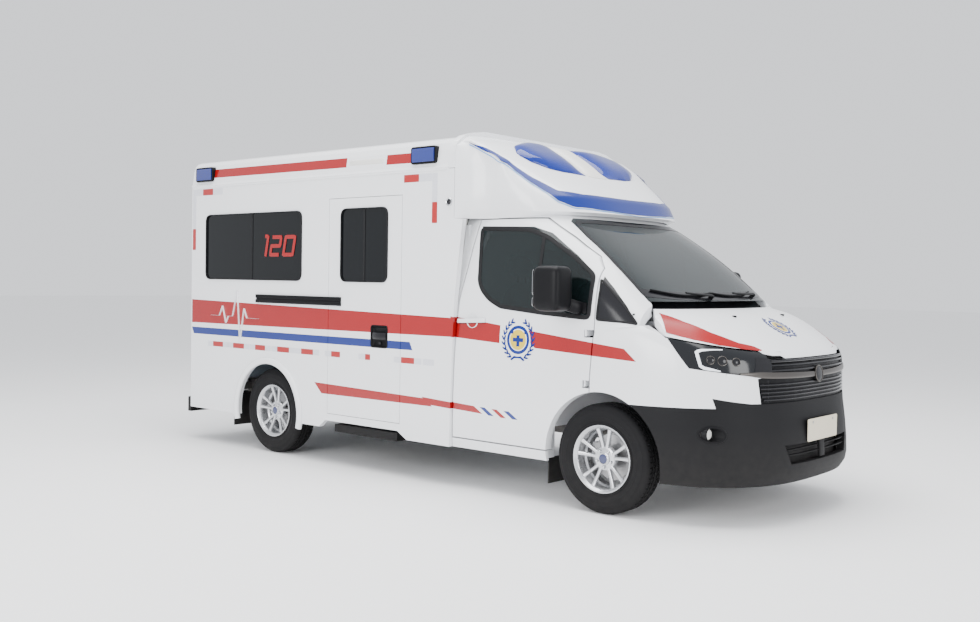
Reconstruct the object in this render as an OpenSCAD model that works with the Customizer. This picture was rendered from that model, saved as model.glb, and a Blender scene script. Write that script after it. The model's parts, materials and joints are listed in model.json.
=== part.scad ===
// Box-bodied ambulance on a light van chassis, in millimetres.
// +X is forward, +Y is the vehicle's left, +Z is up, and the ground is at Z = 0.
// The origin is on the ground, midway between the two bumpers.

/* [Chassis] */
// Distance between the axles
wheelbase = 3300; // [3000:10:3800]
// Body behind the rear axle
rear_overhang = 1200; // [1050:10:1400]
// Body ahead of the front axle
front_overhang = 1030; // [980:5:1090]
// Datum of the frame, 60 below its rails
rail_z = 330; // [300:5:360]

/* [Wheels] */
// Radius of the tyre on the ground
tyre_r = 350; // [330:1:365]
// Width of the tyre
tyre_w = 200; // [175:1:215]
// Radius of the rim's flange
rim_r = 218; // [205:1:235]
// Middle of the wheel from the centre line
wheel_y = 885; // [860:1:900]
// Kingpin from the centre line
kingpin_y = 800; // [760:1:820]
// Radius of the wheel arches
arch_r = 425; // [410:1:450]

/* [Box body] */
// Width over the box sides
box_w = 2060; // [1980:5:2200]
// Thickness of the side walls, roof and doors
box_wall = 40; // [25:1:60]
// Height of the line where the roof moulding starts
cornice_z = 2240; // [2100:5:2300]
// Height of the roof moulding
roof_h = 250; // [200:5:300]
// Top of the patient floor
floor_z = 640; // [560:5:720]
// Lower edge of the box sides
skirt_z = 290; // [250:5:340]
// Sill height of the box windows
box_sill_z = 1435; // [1300:5:1550]
// Height of the box windows
box_window_h = 556; // [400:1:620]
// Width of the large side windows
big_window_w = 1300; // [800:5:1400]
// Width of the sliding door
slider_w = 800; // [650:5:900]
// Width of one rear door
rear_door_w = 880; // [760:5:890]

/* [Cab] */
// Thickness of the cab doors
door_t = 65; // [50:1:80]
// Thickness of the cab's pillars, fenders and hood
panel_t = 30; // [20:1:40]
// Thickness of the glass
glass_t = 6; // [4:0.5:8]
// Gap around hood and doors
shut_gap = 9; // [9:0.5:12]
// Width over the mirror housings
mirror_span = 2460; // [2300:10:2600]

/* [Hidden] */
$fn = 64;

rear_axle_x = rear_overhang - (rear_overhang + wheelbase + front_overhang) / 2;
front_axle_x = rear_axle_x + wheelbase;
seat_gap = 0.3;
box_y = box_w / 2;
box_rear = -1110 - (rear_overhang - 1200);
roof_z = cornice_z + roof_h;
far = 3000;

// Cab lines, from the front axle: the rear edge of the cab doors and of the cab.
door_rear = [[-1245, 362], [-1232, 900], [-1215, 1321], [-1165, 1640], [-1125, 1885]];
door_front = [[-600, 1885], [-357, 1752], [-150, 1622], [-82, 1545], [-72, 1380], [-66, 1190],
  [-85, 860], [-85, 362]];
door_window = [[-1105, 1840], [-652, 1828], [-500, 1784], [-264, 1634], [-128, 1530], [-112, 1500],
  [-108, 1230], [-480, 1252], [-848, 1284], [-950, 1330], [-1020, 1390], [-1060, 1450]];
quarter_window = [[-50, 1222], [-50, 1500], [30, 1428], [140, 1316], [232, 1206]];
screen_front = [[-795, 1345], [795, 1345], [775, 1560], [735, 1760], [690, 1868], [640, 1893],
  [-640, 1893], [-690, 1868], [-735, 1760], [-775, 1560]];
hinge_x = -125;
hinge_y = 990;
hinge_z = [800, 1120];
cab_floor = rail_z + 180 + seat_gap;
// Depth of the cowl below the skin of the cab.
cowl_drop = 34;
cowl_zone = [[60, -790, 1262], [420, 790, 1345]];
hood_hinge = [262, 1276];
hood_hinge_y = [728, 748, 764];
screen_foot = [241, 1360];
screen_lean = 1.29;

// Nose of the cab: how far each height lies behind the tip, and how wide it is.
nose_back = [[250, 40], [300, 8], [350, 0], [450, 5], [563, 18], [700, 40], [750, 44], [913, 48],
  [985, 56], [1030, 75], [1060, 110], [1100, 172], [1140, 236], [1180, 302], [1210, 355],
  [1240, 412], [1262, 464], [1285, 545], [1300, 620]];
nose_half = [[250, 985], [350, 1000], [646, 1010], [900, 1006], [1100, 998], [1160, 986],
  [1190, 972], [1215, 950], [1240, 915], [1270, 865], [1300, 790]];
nose_levels = [250, 300, 350, 450, 563, 646, 700, 750, 830, 913, 985, 1010, 1030, 1060, 1100,
  1140, 1180, 1210, 1240, 1262, 1285, 1300];
cabin_half = [[290, 980], [350, 996], [646, 1006], [900, 1002], [1100, 996], [1190, 992],
  [1290, 983], [1400, 966], [1530, 938], [1700, 905], [1830, 876], [1885, 858], [1920, 830],
  [1945, 780], [1955, 720]];
cabin_levels = [290, 350, 500, 646, 900, 1100, 1190, 1290, 1345, 1400, 1460, 1530, 1615, 1700,
  1770, 1830, 1885, 1920, 1945, 1955];
// Fairing over the cab roof: front, half width and rear half width at each height.
fairing_front = [[1892, -520], [1935, -375], [1960, -395], [2040, -458], [2150, -610],
  [2262, -800], [2350, -930], [2434, -1070], [2480, -1180], [2510, -1290], [2525, -1370]];
fairing_half = [[1892, 850], [1935, 880], [2040, 905], [2262, 905], [2350, 930], [2434, 955],
  [2480, 900], [2510, 805], [2525, 700]];
fairing_flare = [[1892, 1028], [2350, 1028], [2400, 1018], [2434, 995], [2480, 925], [2510, 820],
  [2525, 710]];
fairing_levels = [1892, 1915, 1935, 1960, 2040, 2150, 2262, 2350, 2400, 2434, 2480, 2510, 2525];

module rear() translate([rear_axle_x, 0, 0]) children();
module front() translate([front_axle_x, 0, 0]) children();
module both() {
  children();
  mirror([0, 1, 0]) children();
}
// A side-view outline of [x, z] points as a prism from y0 to y1.
module side_prism(points, y0, y1)
  translate([0, y1, 0]) rotate([90, 0, 0]) linear_extrude(y1 - y0) polygon(points);
// A front-view outline of [y, z] points as a prism from x0 to x1.
module front_prism(points, x0, x1)
  translate([x0, 0, 0]) rotate([90, 0, 90]) linear_extrude(x1 - x0) polygon(points);
module block(low, high) translate(low) cube(high - low);
module bar_x(x0, x1, y, z, r) translate([x0, y, z]) rotate([0, 90, 0]) cylinder(h = x1 - x0, r = r);
module bar_y(x, y0, y1, z, r) translate([x, y1, z]) rotate([90, 0, 0]) cylinder(h = y1 - y0, r = r);
// Keeps a sculpted panel as one mesh.
module sculpted() resize([0, 0, 0]) children();

// Front half of a plan outline: a superellipse from x0 forward by a, half width b.
function plan(x0, a, b, p, q, n) = [for (i = [-n:n]) let (t = 90 * i / n)
  [x0 + a * pow(max(0, cos(t)), 2 / q), b * sign(t) * pow(abs(sin(t)), 2 / p)]];
function at_z(points, z) = [for (p = points) [p[0], p[1], z]];
// Solid through closed rings of the same number of points, from the lowest up.
module loft(rings) {
  n = len(rings[0]);
  m = len(rings);
  polyhedron(
    points = [for (r = rings) each r],
    faces = concat([[for (i = [0:n - 1]) i]],
      [for (k = [0:m - 2], i = [0:n - 1]) [k * n + i, (k + 1) * n + i, (k + 1) * n + (i + 1) % n]],
      [for (k = [0:m - 2], i = [0:n - 1]) [k * n + i, (k + 1) * n + (i + 1) % n, k * n + (i + 1) % n]],
      [[for (i = [n - 1:-1:0]) (m - 1) * n + i]]));
}
function nose_x(z) = front_overhang - lookup(z, nose_back);
function nose_ring(z, t) = let (b = lookup(z, nose_half) - t)
  at_z(concat(plan(0, nose_x(z), b, 2.8, 3, 17), [[-1300, b], [-1300, -b]]), z);
function cabin_x(z) = z < 1190 ? max(-60, (z - 1100) * 5)
  : screen_foot[0] - screen_lean * (z - screen_foot[1]) + 22 * sin(180 * (z - 1360) / 595);
function cabin_ring(z, t) =
  let (b = lookup(z, cabin_half) - t, x0 = lookup(z, [[1500, -600], [1885, -1180], [1955, -1250]]))
  at_z(concat(plan(x0, cabin_x(z) - x0, b, lookup(z, [[1650, 5], [1900, 3.6]]),
    lookup(z, [[1650, 8], [1900, 5]]), 17), [[-1300, b], [-1300, -b]]), z);
// Outer form of the cab, moved in by t.
module cab_form(t) translate([-t, 0, -t]) {
  loft([for (z = nose_levels) nose_ring(z, t)]);
  loft([for (z = cabin_levels) cabin_ring(z, t)]);
}
module cab_skin(t) difference() {
  cab_form(0);
  cab_form(t);
}
// Layer of the cab's skin from depth t0 to depth t1.
module cab_layer(t0, t1) difference() {
  cab_form(t0);
  cab_form(t1);
}
module wheel_arch(x, r) bar_y(x, -far, far, tyre_r, r);

// End of the hub stub in the rim's bore.
stub_y = wheel_y + tyre_w / 2 - 51 - seat_gap;

// --- Chassis ---
module chassis_frame() color("dimgray") {
  y0 = 380;
  both() rear() block([box_rear + 60, y0, rail_z + 60], [wheelbase - 330, y0 + 70, rail_z + 180]);
  both() front() block([-330, y0, rail_z + 60], [620, y0 + 70, rail_z + 180]);
  for (x = [box_rear + 60, 620, 1400, 2200]) rear()
    block([x, -y0, rail_z + 80], [x + 70, y0, rail_z + 160]);
  front() block([620, -560, rail_z + 60], [680, 560, rail_z + 180]);
  // Outriggers that carry the box sides and the cab.
  both() rear() for (x = [box_rear + 60, 700, 1560])
    block([x, y0 + 70, rail_z + 90], [x + 60, box_y - box_wall - seat_gap, rail_z + 150]);
}
module rear_axle() color("dimgray") rear() {
  bar_y(0, -wheel_y + 40, wheel_y - 40, tyre_r, 38);
  bar_y(0, -stub_y, stub_y, tyre_r, 30);
  bar_y(0, -120, 120, tyre_r, 120);
  // Leaf springs clamped over the beam and hung from the rails.
  both() translate([0, 520, 0]) {
    block([-620, -32, tyre_r + 30], [620, 32, tyre_r + 62]);
    block([-620, -32, tyre_r + 62], [-570, 32, rail_z + 160]);
    block([570, -32, tyre_r + 62], [620, 32, rail_z + 160]);
    block([-60, -45, tyre_r - 60], [60, 45, tyre_r + 80]);
    for (x = [-600, 600]) block([x - 20, -70 + seat_gap, rail_z + 100], [x + 20, 0, rail_z + 140]);
  }
  both() translate([0, wheel_y - 130, tyre_r]) rotate([90, 0, 0]) cylinder(h = 14, r = 140);
}
module front_suspension() color("dimgray") front() {
  block([-70, -450, tyre_r - 110], [70, 450, rail_z + 60 - seat_gap]);
  // Lower arms out to the ball joints, and the struts above them.
  both() {
    side = kingpin_y - 70;
    block([-35, 440, tyre_r - 124], [35, side, tyre_r - 94]);
    translate([0, side, tyre_r - 124]) cylinder(h = 30, r = 38);
    translate([-120, 420, tyre_r - 122]) cube([240, 60, 26]);
  }
}
module engine() color("gray") front() {
  block([120, -300, 395], [600, 300, 1010]);
  both() block([300, 290, 430], [380, 380 - seat_gap, 470]);
}
module exhaust() color("silver") rear() {
  bar_x(340, 1900, -250, 322, 28);
  translate([520, -250, 322]) rotate([0, 90, 0]) cylinder(h = 620, r = 84);
  for (x = [640, 1415]) block([x, -270, 322], [x + 40, -230, rail_z + 80 - seat_gap]);
}
module fuel_tank() color("black") rear()
  block([800, 450 + seat_gap, 300], [1500, 860, 520]);

// --- Cab ---
module door_prism(grow, y0, y1) side_prism_offset(concat(door_rear, door_front), grow, y0, y1);
module side_prism_offset(points, grow, y0, y1)
  translate([0, y1, 0]) rotate([90, 0, 0]) linear_extrude(y1 - y0) offset(delta = grow) polygon(points);
module hinge_lugs() for (z = hinge_z) both() {
  translate([hinge_x, hinge_y, z]) cylinder(h = 40, r = 7);
  block([hinge_x, 885, z], [hinge_x + 7, hinge_y, z + 40]);
}
module cab_shell() color("white") front() {
  sculpted() difference() {
    union() {
      // Pillars, roof and sills, cut from the cab's skin.
      intersection() {
        difference() {
          cab_skin(panel_t);
          both() door_prism(shut_gap, 600, far);
          front_prism(screen_front, -900, far);
          both() side_prism_offset(quarter_window, 0, 700, far);
        }
        union() {
          block([-1251, -far, 290], [-95, far, 1960]);
          block([-96, -far, 1200 + seat_gap], [240, far, 1960]);
        }
      }
      // Floor, sills, firewall and the posts that carry the door hinges.
      block([-1251, -900, cab_floor], [-410, 900, cab_floor + 28]);
      block([-440, -893, cab_floor], [-410, 893, 810]);
      block([-440, -893, 782], [60, 893, 810]);
      block([30, -840, 782], [60, 840, 1255]);
      both() {
        block([-1251, 880, 300], [-440, 985 - shut_gap, 352]);
        block([-1251, 880, 300], [-440, 900, cab_floor + 28]);
        block([-1251, 850, 352], [-1215, 893, 1850]);
        block([hinge_x - 10, 830, 782], [60, 893, 1215]);
      }
    }
    wheel_arch(0, arch_r);
    // Room for the cowl, the hood and the front edge of the box sides.
    block(cowl_zone[0] - [seat_gap, seat_gap, seat_gap], cowl_zone[1]);
    translate([0, 0, 1190]) hood_plan(shut_gap);
    // Room for the hood's rear corners as they swing.
    both() bar_y(hood_hinge[0], 786, 814, hood_hinge[1], 32);
    both() side_prism(concat([[-1400, 200]], [for (p = box_front_edge) p - [wheelbase - seat_gap, 0]], [[-1400, 1900]]),
      box_y - box_wall - seat_gap, far);
  }
  hinge_lugs();
  // Brackets for the hood's hinges.
  both() {
    y = [hood_hinge_y[1] + seat_gap, hood_hinge_y[2]];
    bar_y(hood_hinge[0], y[0], y[1], hood_hinge[1], 7);
    block([50, y[0], 1195], [hood_hinge[0] + 7, y[1], 1220]);
    block([hood_hinge[0] - 2, y[0], 1195], [hood_hinge[0] + 7, y[1], hood_hinge[1]]);
  }
}
module hood_plan(grow) linear_extrude(far) offset(delta = grow)
  polygon(concat([for (a = [-90:15:90]) [222 + 150 * cos(a), 765 * sin(a)]],
    [[300, 858], [432, 935], [620, 960], [1100, 700], [1100, -700], [620, -960], [432, -935], [300, -858]]));
hood_side = [[100, 1185], [437, 1139], [905, 1054], [938, 1016], [1200, 1010], [1200, 1299.7], [100, 1299.7]];
module hood() color("white") front() {
  sculpted() intersection() {
    cab_skin(panel_t);
    difference() {
      hood_plan(0);
      // Room for the hinge brackets.
      both() block([180, hood_hinge_y[1], 1100], [hood_hinge[0] + 23, hood_hinge_y[2] + 8, hood_hinge[1] + 7.5]);
    }
    side_prism(hood_side, -far, far);
  }
  both() {
    bar_y(hood_hinge[0], hood_hinge_y[0], hood_hinge_y[1], hood_hinge[1], 7);
    block([hood_hinge[0], hood_hinge_y[0], hood_hinge[1] - 6], [hood_hinge[0] + 30, hood_hinge_y[1], hood_hinge[1] + 4]);
  }
}
lamp_side = [[437, 1131], [510, 1045], [580, 958], [713, 941], [872, 914], [905, 1046]];
trim_gap = 0.8;
module lamp_zone(grow) side_prism_offset(lamp_side, grow, 545 - grow, far);
grille_front = [[-612, 748], [612, 748], [634, 898], [540, 912], [540, 1003], [-540, 1003],
  [-540, 912], [-634, 898]];
module grille_zone(grow) translate([500, 0, 0]) rotate([90, 0, 90]) linear_extrude(far)
  offset(delta = grow) polygon(grille_front);
bumper_side = [[-100, 200], [-100, 712], [722, 722], [704, 782], [866, 749], [1200, 747], [1200, 200]];
module bumper_zone(grow) side_prism_offset(bumper_side, grow, -far, far);
module fenders() color("white") front() sculpted() difference() {
  intersection() {
    cab_skin(panel_t);
    both() side_prism([[-66 + shut_gap, 1190], [-85 + shut_gap, 860], [-85 + shut_gap, 700], [700, 700], [722, 726], [704, 786],
      [760, 900], [760, 935], [590, 990], [500, 1060], [430, 1132], [260, 1200], [-66 + shut_gap, 1200]], 600, far);
  }
  intersection() {
    translate([0, 0, 700]) hood_plan(shut_gap);
    side_prism_offset(hood_side, shut_gap, -far, far);
  }
  both() lamp_zone(trim_gap);
  bumper_zone(trim_gap);
  wheel_arch(0, arch_r);
}
module bumper_corners() color("white") front() sculpted() difference() {
  intersection() {
    cab_skin(panel_t);
    both() side_prism([[700, 745], [900, 745], [960, 960], [700, 980]], 440, far);
  }
  bumper_zone(trim_gap);
  both() lamp_zone(trim_gap);
  grille_zone(trim_gap);
  side_prism([[600, 700], [722, 726], [704, 786], [760, 900], [770, 1000], [600, 1000]], -far, far);
}
module headlights() color("darkslategray") front() sculpted() difference() {
  intersection() {
    cab_skin(60);
    both() lamp_zone(0);
  }
  grille_zone(trim_gap);
}
module grille() color("black") front() sculpted() intersection() {
  cab_layer(12, 42);
  grille_zone(0);
}
module front_bumper() color("dimgray") front() sculpted() difference() {
  intersection() {
    cab_skin(42);
    bumper_zone(0);
    block([0, -far, 0], [far, far, far]);
  }
  wheel_arch(0, arch_r);
  grille_zone(trim_gap);
  // Lower intake and the fog lamp pockets.
  front_prism([[-400, 372], [400, 372], [455, 490], [-455, 490]], 500, far);
  both() translate([0, 860, 568]) rotate([0, 90, 0]) cylinder(h = far, r = 42);
}
module windscreen() color([0.15, 0.25, 0.25, 0.5]) front() sculpted() intersection() {
  cab_skin(glass_t);
  translate([-900, 0, 0]) rotate([90, 0, 90]) linear_extrude(far)
    offset(delta = -seat_gap) polygon(screen_front);
}
module quarter_glass() color("black") front() sculpted() intersection() {
  cab_skin(glass_t);
  both() side_prism_offset(quarter_window, -seat_gap, 700, far);
}
module cowl() color("black") front() sculpted() {
  difference() {
    intersection() {
      cab_layer(cowl_drop, cowl_drop + 32);
      block(cowl_zone[0], cowl_zone[1] - [0, 0, seat_gap]);
    }
    hood_plan(shut_gap);
    // Foot of the windscreen.
    cab_skin(glass_t + seat_gap);
  }
  // Ears that rest against the inner side of the pillars.
  both() difference() {
    block([188, 770, 1262], [199, 940, 1272]);
    cab_skin(panel_t + seat_gap);
  }
}
module dashboard() color("black") front() {
  rear_x = -330;
  side_prism([[rear_x, 810 + seat_gap], [rear_x - 40, 900], [rear_x + 10, 1120], [rear_x + 60, 1205],
    [20, 1240], [30 - seat_gap, 1240], [30 - seat_gap, 810 + seat_gap]], -820, 820);
  translate([rear_x, 400, 1080]) rotate([0, -62, 0]) cylinder(h = 170 - seat_gap, r = 32);
}
module steering_wheel() color("black") front()
  translate([-330, 400, 1080]) rotate([0, -62, 0]) translate([0, 0, 170]) {
    rotate_extrude() translate([175, 0]) circle(r = 15);
    cylinder(h = 30, r = 60);
    for (a = [0, 90, 180, 270]) rotate([0, 0, a]) translate([50, -14, 2]) cube([120, 28, 14]);
  }
module cab_seat(w) {
  side_prism([[-280, 0], [220, 20], [220, 130], [-280, 110]], -w / 2, w / 2);
  side_prism([[-280, 90], [-180, 92], [-300, 700], [-400, 690]], -w / 2, w / 2);
  side_prism([[-385, 722], [-315, 726], [-345, 890], [-405, 885]], -130, 130);
  side_prism([[-360, 690], [-340, 690], [-350, 740], [-366, 740]], -60, 60);
}
module cab_seats() color("dimgray") front() {
  translate([-760, 430, 760]) cab_seat(500);
  translate([-760, -430, 760]) cab_seat(500);
  for (y = [430, -430]) block([-1020, y - 220, cab_floor + 28 + seat_gap], [-560, y + 220, 765]);
}
module cab_door_left() color("white") front() sculpted() difference() {
  intersection() {
    cab_skin(door_t);
    door_prism(0, 600, far);
  }
  wheel_arch(0, arch_r);
  side_prism(door_window, 600, far);
  // Room for the hinge lugs.
  for (z = hinge_z) block([hinge_x - 12, 880, z - shut_gap], [0, far, z + 40 + seat_gap]);
}
module door_glass_left() color([0.1, 0.15, 0.15, 0.6]) front() sculpted() intersection() {
  cab_skin(glass_t);
  side_prism_offset(door_window, -seat_gap, 600, far);
}
module cab_door_right() mirror([0, 1, 0]) cab_door_left();
module door_glass_right() mirror([0, 1, 0]) door_glass_left();
module mirror_left() color("black") front() {
  side_prism([[-380, 1290], [-390, 1420], [-370, 1540], [-330, 1562], [-210, 1556], [-190, 1530],
    [-180, 1400], [-190, 1300], [-220, 1276], [-350, 1272]], mirror_span / 2 - 190, mirror_span / 2);
  hull() {
    block([-300, mirror_span / 2 - 200, 1300], [-200, mirror_span / 2 - 185, 1370]);
    block([-235, 988, 1262], [-135, 996, 1322]);
  }
  intersection() {
    block([-240, 940, 1256], [-130, 996, 1328]);
    sculpted() difference() {
      block([-260, 940, 1240], [-110, 1010, 1340]);
      cab_form(-seat_gap);
    }
  }
}
module mirror_right() mirror([0, 1, 0]) mirror_left();

// --- Box body ---
// The leaning top of the door sweeps back as it opens, so the gap behind it widens with height.
function door_gap(z) = shut_gap + 22 * max(0, z - 1321) / 564;
function box_front(z) = wheelbase - door_gap(z) + lookup(z, [for (p = door_rear) [p[1], p[0]]]);
box_front_edge = [for (p = door_rear) [box_front(p[1]), p[1]]];
big_window = [-234 - big_window_w / 2, -234 + big_window_w / 2];
slider = [1148 - slider_w / 2, 1148 + slider_w / 2];
slider_top = 2071;
slider_foot = 404;
slider_window = [slider[0] + 142, slider[0] + 655];
notch = [723, 1528];
fairing_rear = wheelbase - 1240 - seat_gap;
fairing_foot = 1892;
module rounded_window(x0, x1, y0, y1, r, grow) translate([0, y1, 0]) rotate([90, 0, 0])
  linear_extrude(y1 - y0) offset(r = r) offset(delta = grow - r)
    polygon([[x0, box_sill_z], [x1, box_sill_z], [x1, box_sill_z + box_window_h], [x0, box_sill_z + box_window_h]]);
module box_side_left() color("white") rear() difference() {
  side_prism(concat([[box_rear, skirt_z], [box_rear, cornice_z], [fairing_rear, cornice_z],
    [fairing_rear, fairing_foot - seat_gap]], [for (i = [len(box_front_edge) - 1:-1:0]) box_front_edge[i]],
    [[box_front(362), skirt_z]]), box_y - box_wall, box_y);
  wheel_arch(0, arch_r - 15);
  rounded_window(big_window[0], big_window[1], 0, far, 60, 0);
}
module box_side_right() color("white") difference() {
  mirror([0, 1, 0]) box_side_left();
  rear() {
    side_prism([[slider[0] - 4, slider_foot - 4], [slider[1] + 4, slider_foot - 4],
      [slider[1] + 4, slider_top + 4], [slider[0] - 4, slider_top + 4]], -far, 0);
    side_prism([[notch[0] - 83, skirt_z - 10], [notch[0], slider_foot - 57], [notch[1], slider_foot - 57],
      [notch[1] + 115, skirt_z - 10]], -far, 0);
  }
}
housing_z = 2 * tyre_r + 90;
module box_floor() color("gray") rear() {
  side = box_y - box_wall - seat_gap;
  difference() {
    union() {
      block([box_rear + 62, -side, floor_z - 40], [box_front(362) - 5, side, floor_z]);
      both() block([-430, 610, floor_z - 10], [430, side, housing_z + 20]);
    }
    // Wheel housings rise through the floor.
    both() block([-410, 630, 0], [410, far, housing_z]);
    block([slider[0] - 4, -far, 0], [slider[1] + 4, -side + 46, far]);
  }
}
roof_profile = [[box_y, cornice_z + seat_gap], [box_y + 6, cornice_z + 12], [box_y - 4, cornice_z + 30],
  [box_y - 20, roof_z - 110], [box_y - 34, roof_z - 66], [box_y - 62, roof_z - 36], [box_y - 110, roof_z - 20],
  [box_y - 400, roof_z - 6], [0, roof_z]];
module box_roof() color("white") rear() difference() {
  front_prism(concat(roof_profile, [for (i = [len(roof_profile) - 2:-1:0]) [-roof_profile[i][0], roof_profile[i][1]]]),
    box_rear, wheelbase - 1300);
  front_prism([[-box_y + box_wall + 20, 0], [-box_y + box_wall + 20, roof_z - 120], [-box_y + 120, roof_z - 60],
    [box_y - 120, roof_z - 60], [box_y - box_wall - 20, roof_z - 120], [box_y - box_wall - 20, 0]],
    box_rear + box_wall, far);
}
module bulkhead() color("lightgray") rear() {
  x = box_front(362) - 5 + seat_gap;
  difference() {
    block([x - 35, -box_y + box_wall + seat_gap, floor_z + seat_gap], [x - 5, box_y - box_wall - seat_gap, cornice_z - 5]);
    block([x - 200, -280, 1250], [x + 100, 280, 1700]);
  }
}
frame_y = rear_door_w + 8;
rear_top = 2060;
rear_foot = 560;
rear_hinge_z = [745, 1330, 1900];
module rear_frame() color("white") rear() {
  difference() {
    block([box_rear, -box_y + box_wall + seat_gap, 400], [box_rear + 60, box_y - box_wall - seat_gap, cornice_z]);
    block([box_rear - 10, -frame_y, rear_foot], [box_rear + 100, frame_y, rear_top]);
  }
  both() for (z = rear_hinge_z) {
    translate([box_rear - 14, frame_y + 8, z]) cylinder(h = 40, r = 9);
    block([box_rear - 14, frame_y + 8, z], [box_rear + 1, frame_y + 60, z + 40]);
  }
}
module rear_door_left() color("white") rear() {
  difference() {
    block([box_rear + 2, 3, rear_foot + 8], [box_rear + 2 + box_wall, rear_door_w, rear_top - 8]);
    rear_window(0);
  }
  for (z = rear_hinge_z) {
    translate([box_rear - 14, frame_y + 8, z + 40 + seat_gap]) cylinder(h = 40, r = 9);
    block([box_rear - 14 - 5, frame_y - 90, z + 44], [box_rear + 3, frame_y - 20, z + 76]);
    block([box_rear - 14 - 5, frame_y - 90, z + 44], [box_rear - 14 + 4, frame_y + 8, z + 76]);
  }
}
module rear_door_right() mirror([0, 1, 0]) rear_door_left();
module rear_window(grow) translate([box_rear - 30, rear_door_w / 2, 0]) rotate([90, 0, 90])
  linear_extrude(100) offset(r = 60) offset(delta = grow - 60)
    polygon([[-290, box_sill_z], [290, box_sill_z], [290, box_sill_z + 480], [-290, box_sill_z + 480]]);
module rear_glass_left() color([0.05, 0.05, 0.06, 0.9]) rear() intersection() {
  rear_window(-seat_gap);
  block([box_rear + 4, 0, 0], [box_rear + 12, far, far]);
}
module rear_glass_right() mirror([0, 1, 0]) rear_glass_left();
module side_windows() color([0.05, 0.05, 0.06, 0.9]) rear() {
  both() rounded_window(big_window[0], big_window[1], box_y - 11, box_y - 3, 60, -seat_gap);
  mirror([0, 1, 0]) rounded_window(slider_window[0], slider_window[1], box_y - 11, box_y - 3, 50, -seat_gap);
}
module sliding_door() color("white") mirror([0, 1, 0]) rear() difference() {
  block([slider[0], box_y - box_wall, slider_foot], [slider[1], box_y, slider_top]);
  rounded_window(slider_window[0], slider_window[1], 0, far, 50, 0);
  // Recess of the handle.
  block([slider[1] - 313, box_y - 22, 950], [slider[1] - 138, far, 1109]);
}
module door_rail() color("black") mirror([0, 1, 0]) rear()
  block([-159, box_y + seat_gap, 1245], [895, box_y + 16, 1315]);
function fairing_ring(z) =
  let (b = lookup(z, fairing_half), c = lookup(z, fairing_flare),
    neck = min(-980, lookup(z, fairing_front) - 140), back = min(-1240, neck - 60))
  at_z(concat([for (i = [0:6]) let (u = i / 6) [back + (neck - back) * u, -b - (c - b) * pow(1 - u, 2)]],
    [for (p = plan(neck + 20, lookup(z, fairing_front) - neck - 20, b, 3, 3, 14)) p],
    [for (i = [6:-1:0]) let (u = i / 6) [back + (neck - back) * u, b + (c - b) * pow(1 - u, 2)]]), z);
module fairing_form() loft([for (z = fairing_levels) fairing_ring(z)]);
module roof_fairing() color("white") front() sculpted() difference() {
  union() {
    intersection() {
      fairing_form();
      block([-1238, -far, 0], [far, far, far]);
    }
    intersection() {
      block([-1299, -1028, cornice_z + 4], [-1237, 1028, 2530]);
      front_prism(fairing_back(), -1299, -1237);
    }
  }
  cab_form(-seat_gap);
  // Hollow over the cab roof.
  translate([-40, 0, -40]) scale([1, 0.95, 1]) fairing_form();
}
function fairing_back() = [[-1028, cornice_z + 4], [1028, cornice_z + 4], [1028, 2350], [1018, 2400], [995, 2434],
  [925, 2480], [820, 2510], [710, 2525], [-710, 2525], [-820, 2510], [-925, 2480], [-995, 2434], [-1018, 2400],
  [-1028, 2350]];
module beacons() color([0.05, 0.2, 0.7]) front() sculpted() difference() {
  intersection() {
    translate([34, 0, 26]) fairing_form();
    both() side_prism([[-1140, 2380], [-1120, 2520], [-1060, 2560], [-600, 2330], [-770, 2215]], 60, 500);
  }
  fairing_form();
}
module strobe_lights() color([0.05, 0.15, 0.6]) rear() {
  both() for (x = [[-1040, -790], [1640, 1890]])
    difference() {
      block([x[0], box_y - 60, 2285], [x[1], box_y + 22, 2410]);
      front_prism([[0, 0], [0, far], [box_y - 62 + seat_gap, far], [box_y - 62 + seat_gap, roof_z - 36],
        [box_y - 34 + seat_gap, roof_z - 66], [box_y - 20 + seat_gap, roof_z - 110],
        [box_y - 4 + seat_gap, cornice_z + 30], [box_y, 0]], -far, far);
    }
  for (y = [-700, 700]) block([box_rear - 28, y - 125, 2200], [box_rear - seat_gap, y + 125, 2320]);
}
module side_step() color("black") mirror([0, 1, 0]) rear() {
  block([notch[0] + 80, 760, 262], [notch[1] - 30, 1000, 322]);
  for (x = [notch[0] + 150, notch[1] - 150]) block([x, 450 + seat_gap, 322], [x + 40, 800, rail_z + 88]);
}
module rear_bumper() color("black") rear() {
  back = -rear_overhang;
  difference() {
    block([back, -box_y + 5, 246], [box_rear - seat_gap, box_y - 5, 372]);
    both() translate([back, box_y - 5, 0]) rotate([0, 0, 45]) cube([60, 60, 1000], center = true);
  }
  block([back + 10, -600, 372], [box_rear - seat_gap, 600, 392]);
  both() block([box_rear - 20, 400, 380], [box_rear + 60 - seat_gap, 440, 396]);
}
module tail_lights() color([0.7, 0.05, 0.05]) rear() both()
  for (z = [405, 565, 850]) block([box_rear - 20, frame_y + 30, z], [box_rear - seat_gap, box_y - 12, z + 150]);
module mudflaps() color("black") {
  front() both() block([-460, 700, 127], [-452, 920, 300 - seat_gap]);
  rear() both() {
    block([-560, 700, 172], [-552, 960, rail_z + 100]);
    block([-560, 450 + seat_gap, rail_z + 85], [-552, 960, rail_z + 100]);
  }
}

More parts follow.
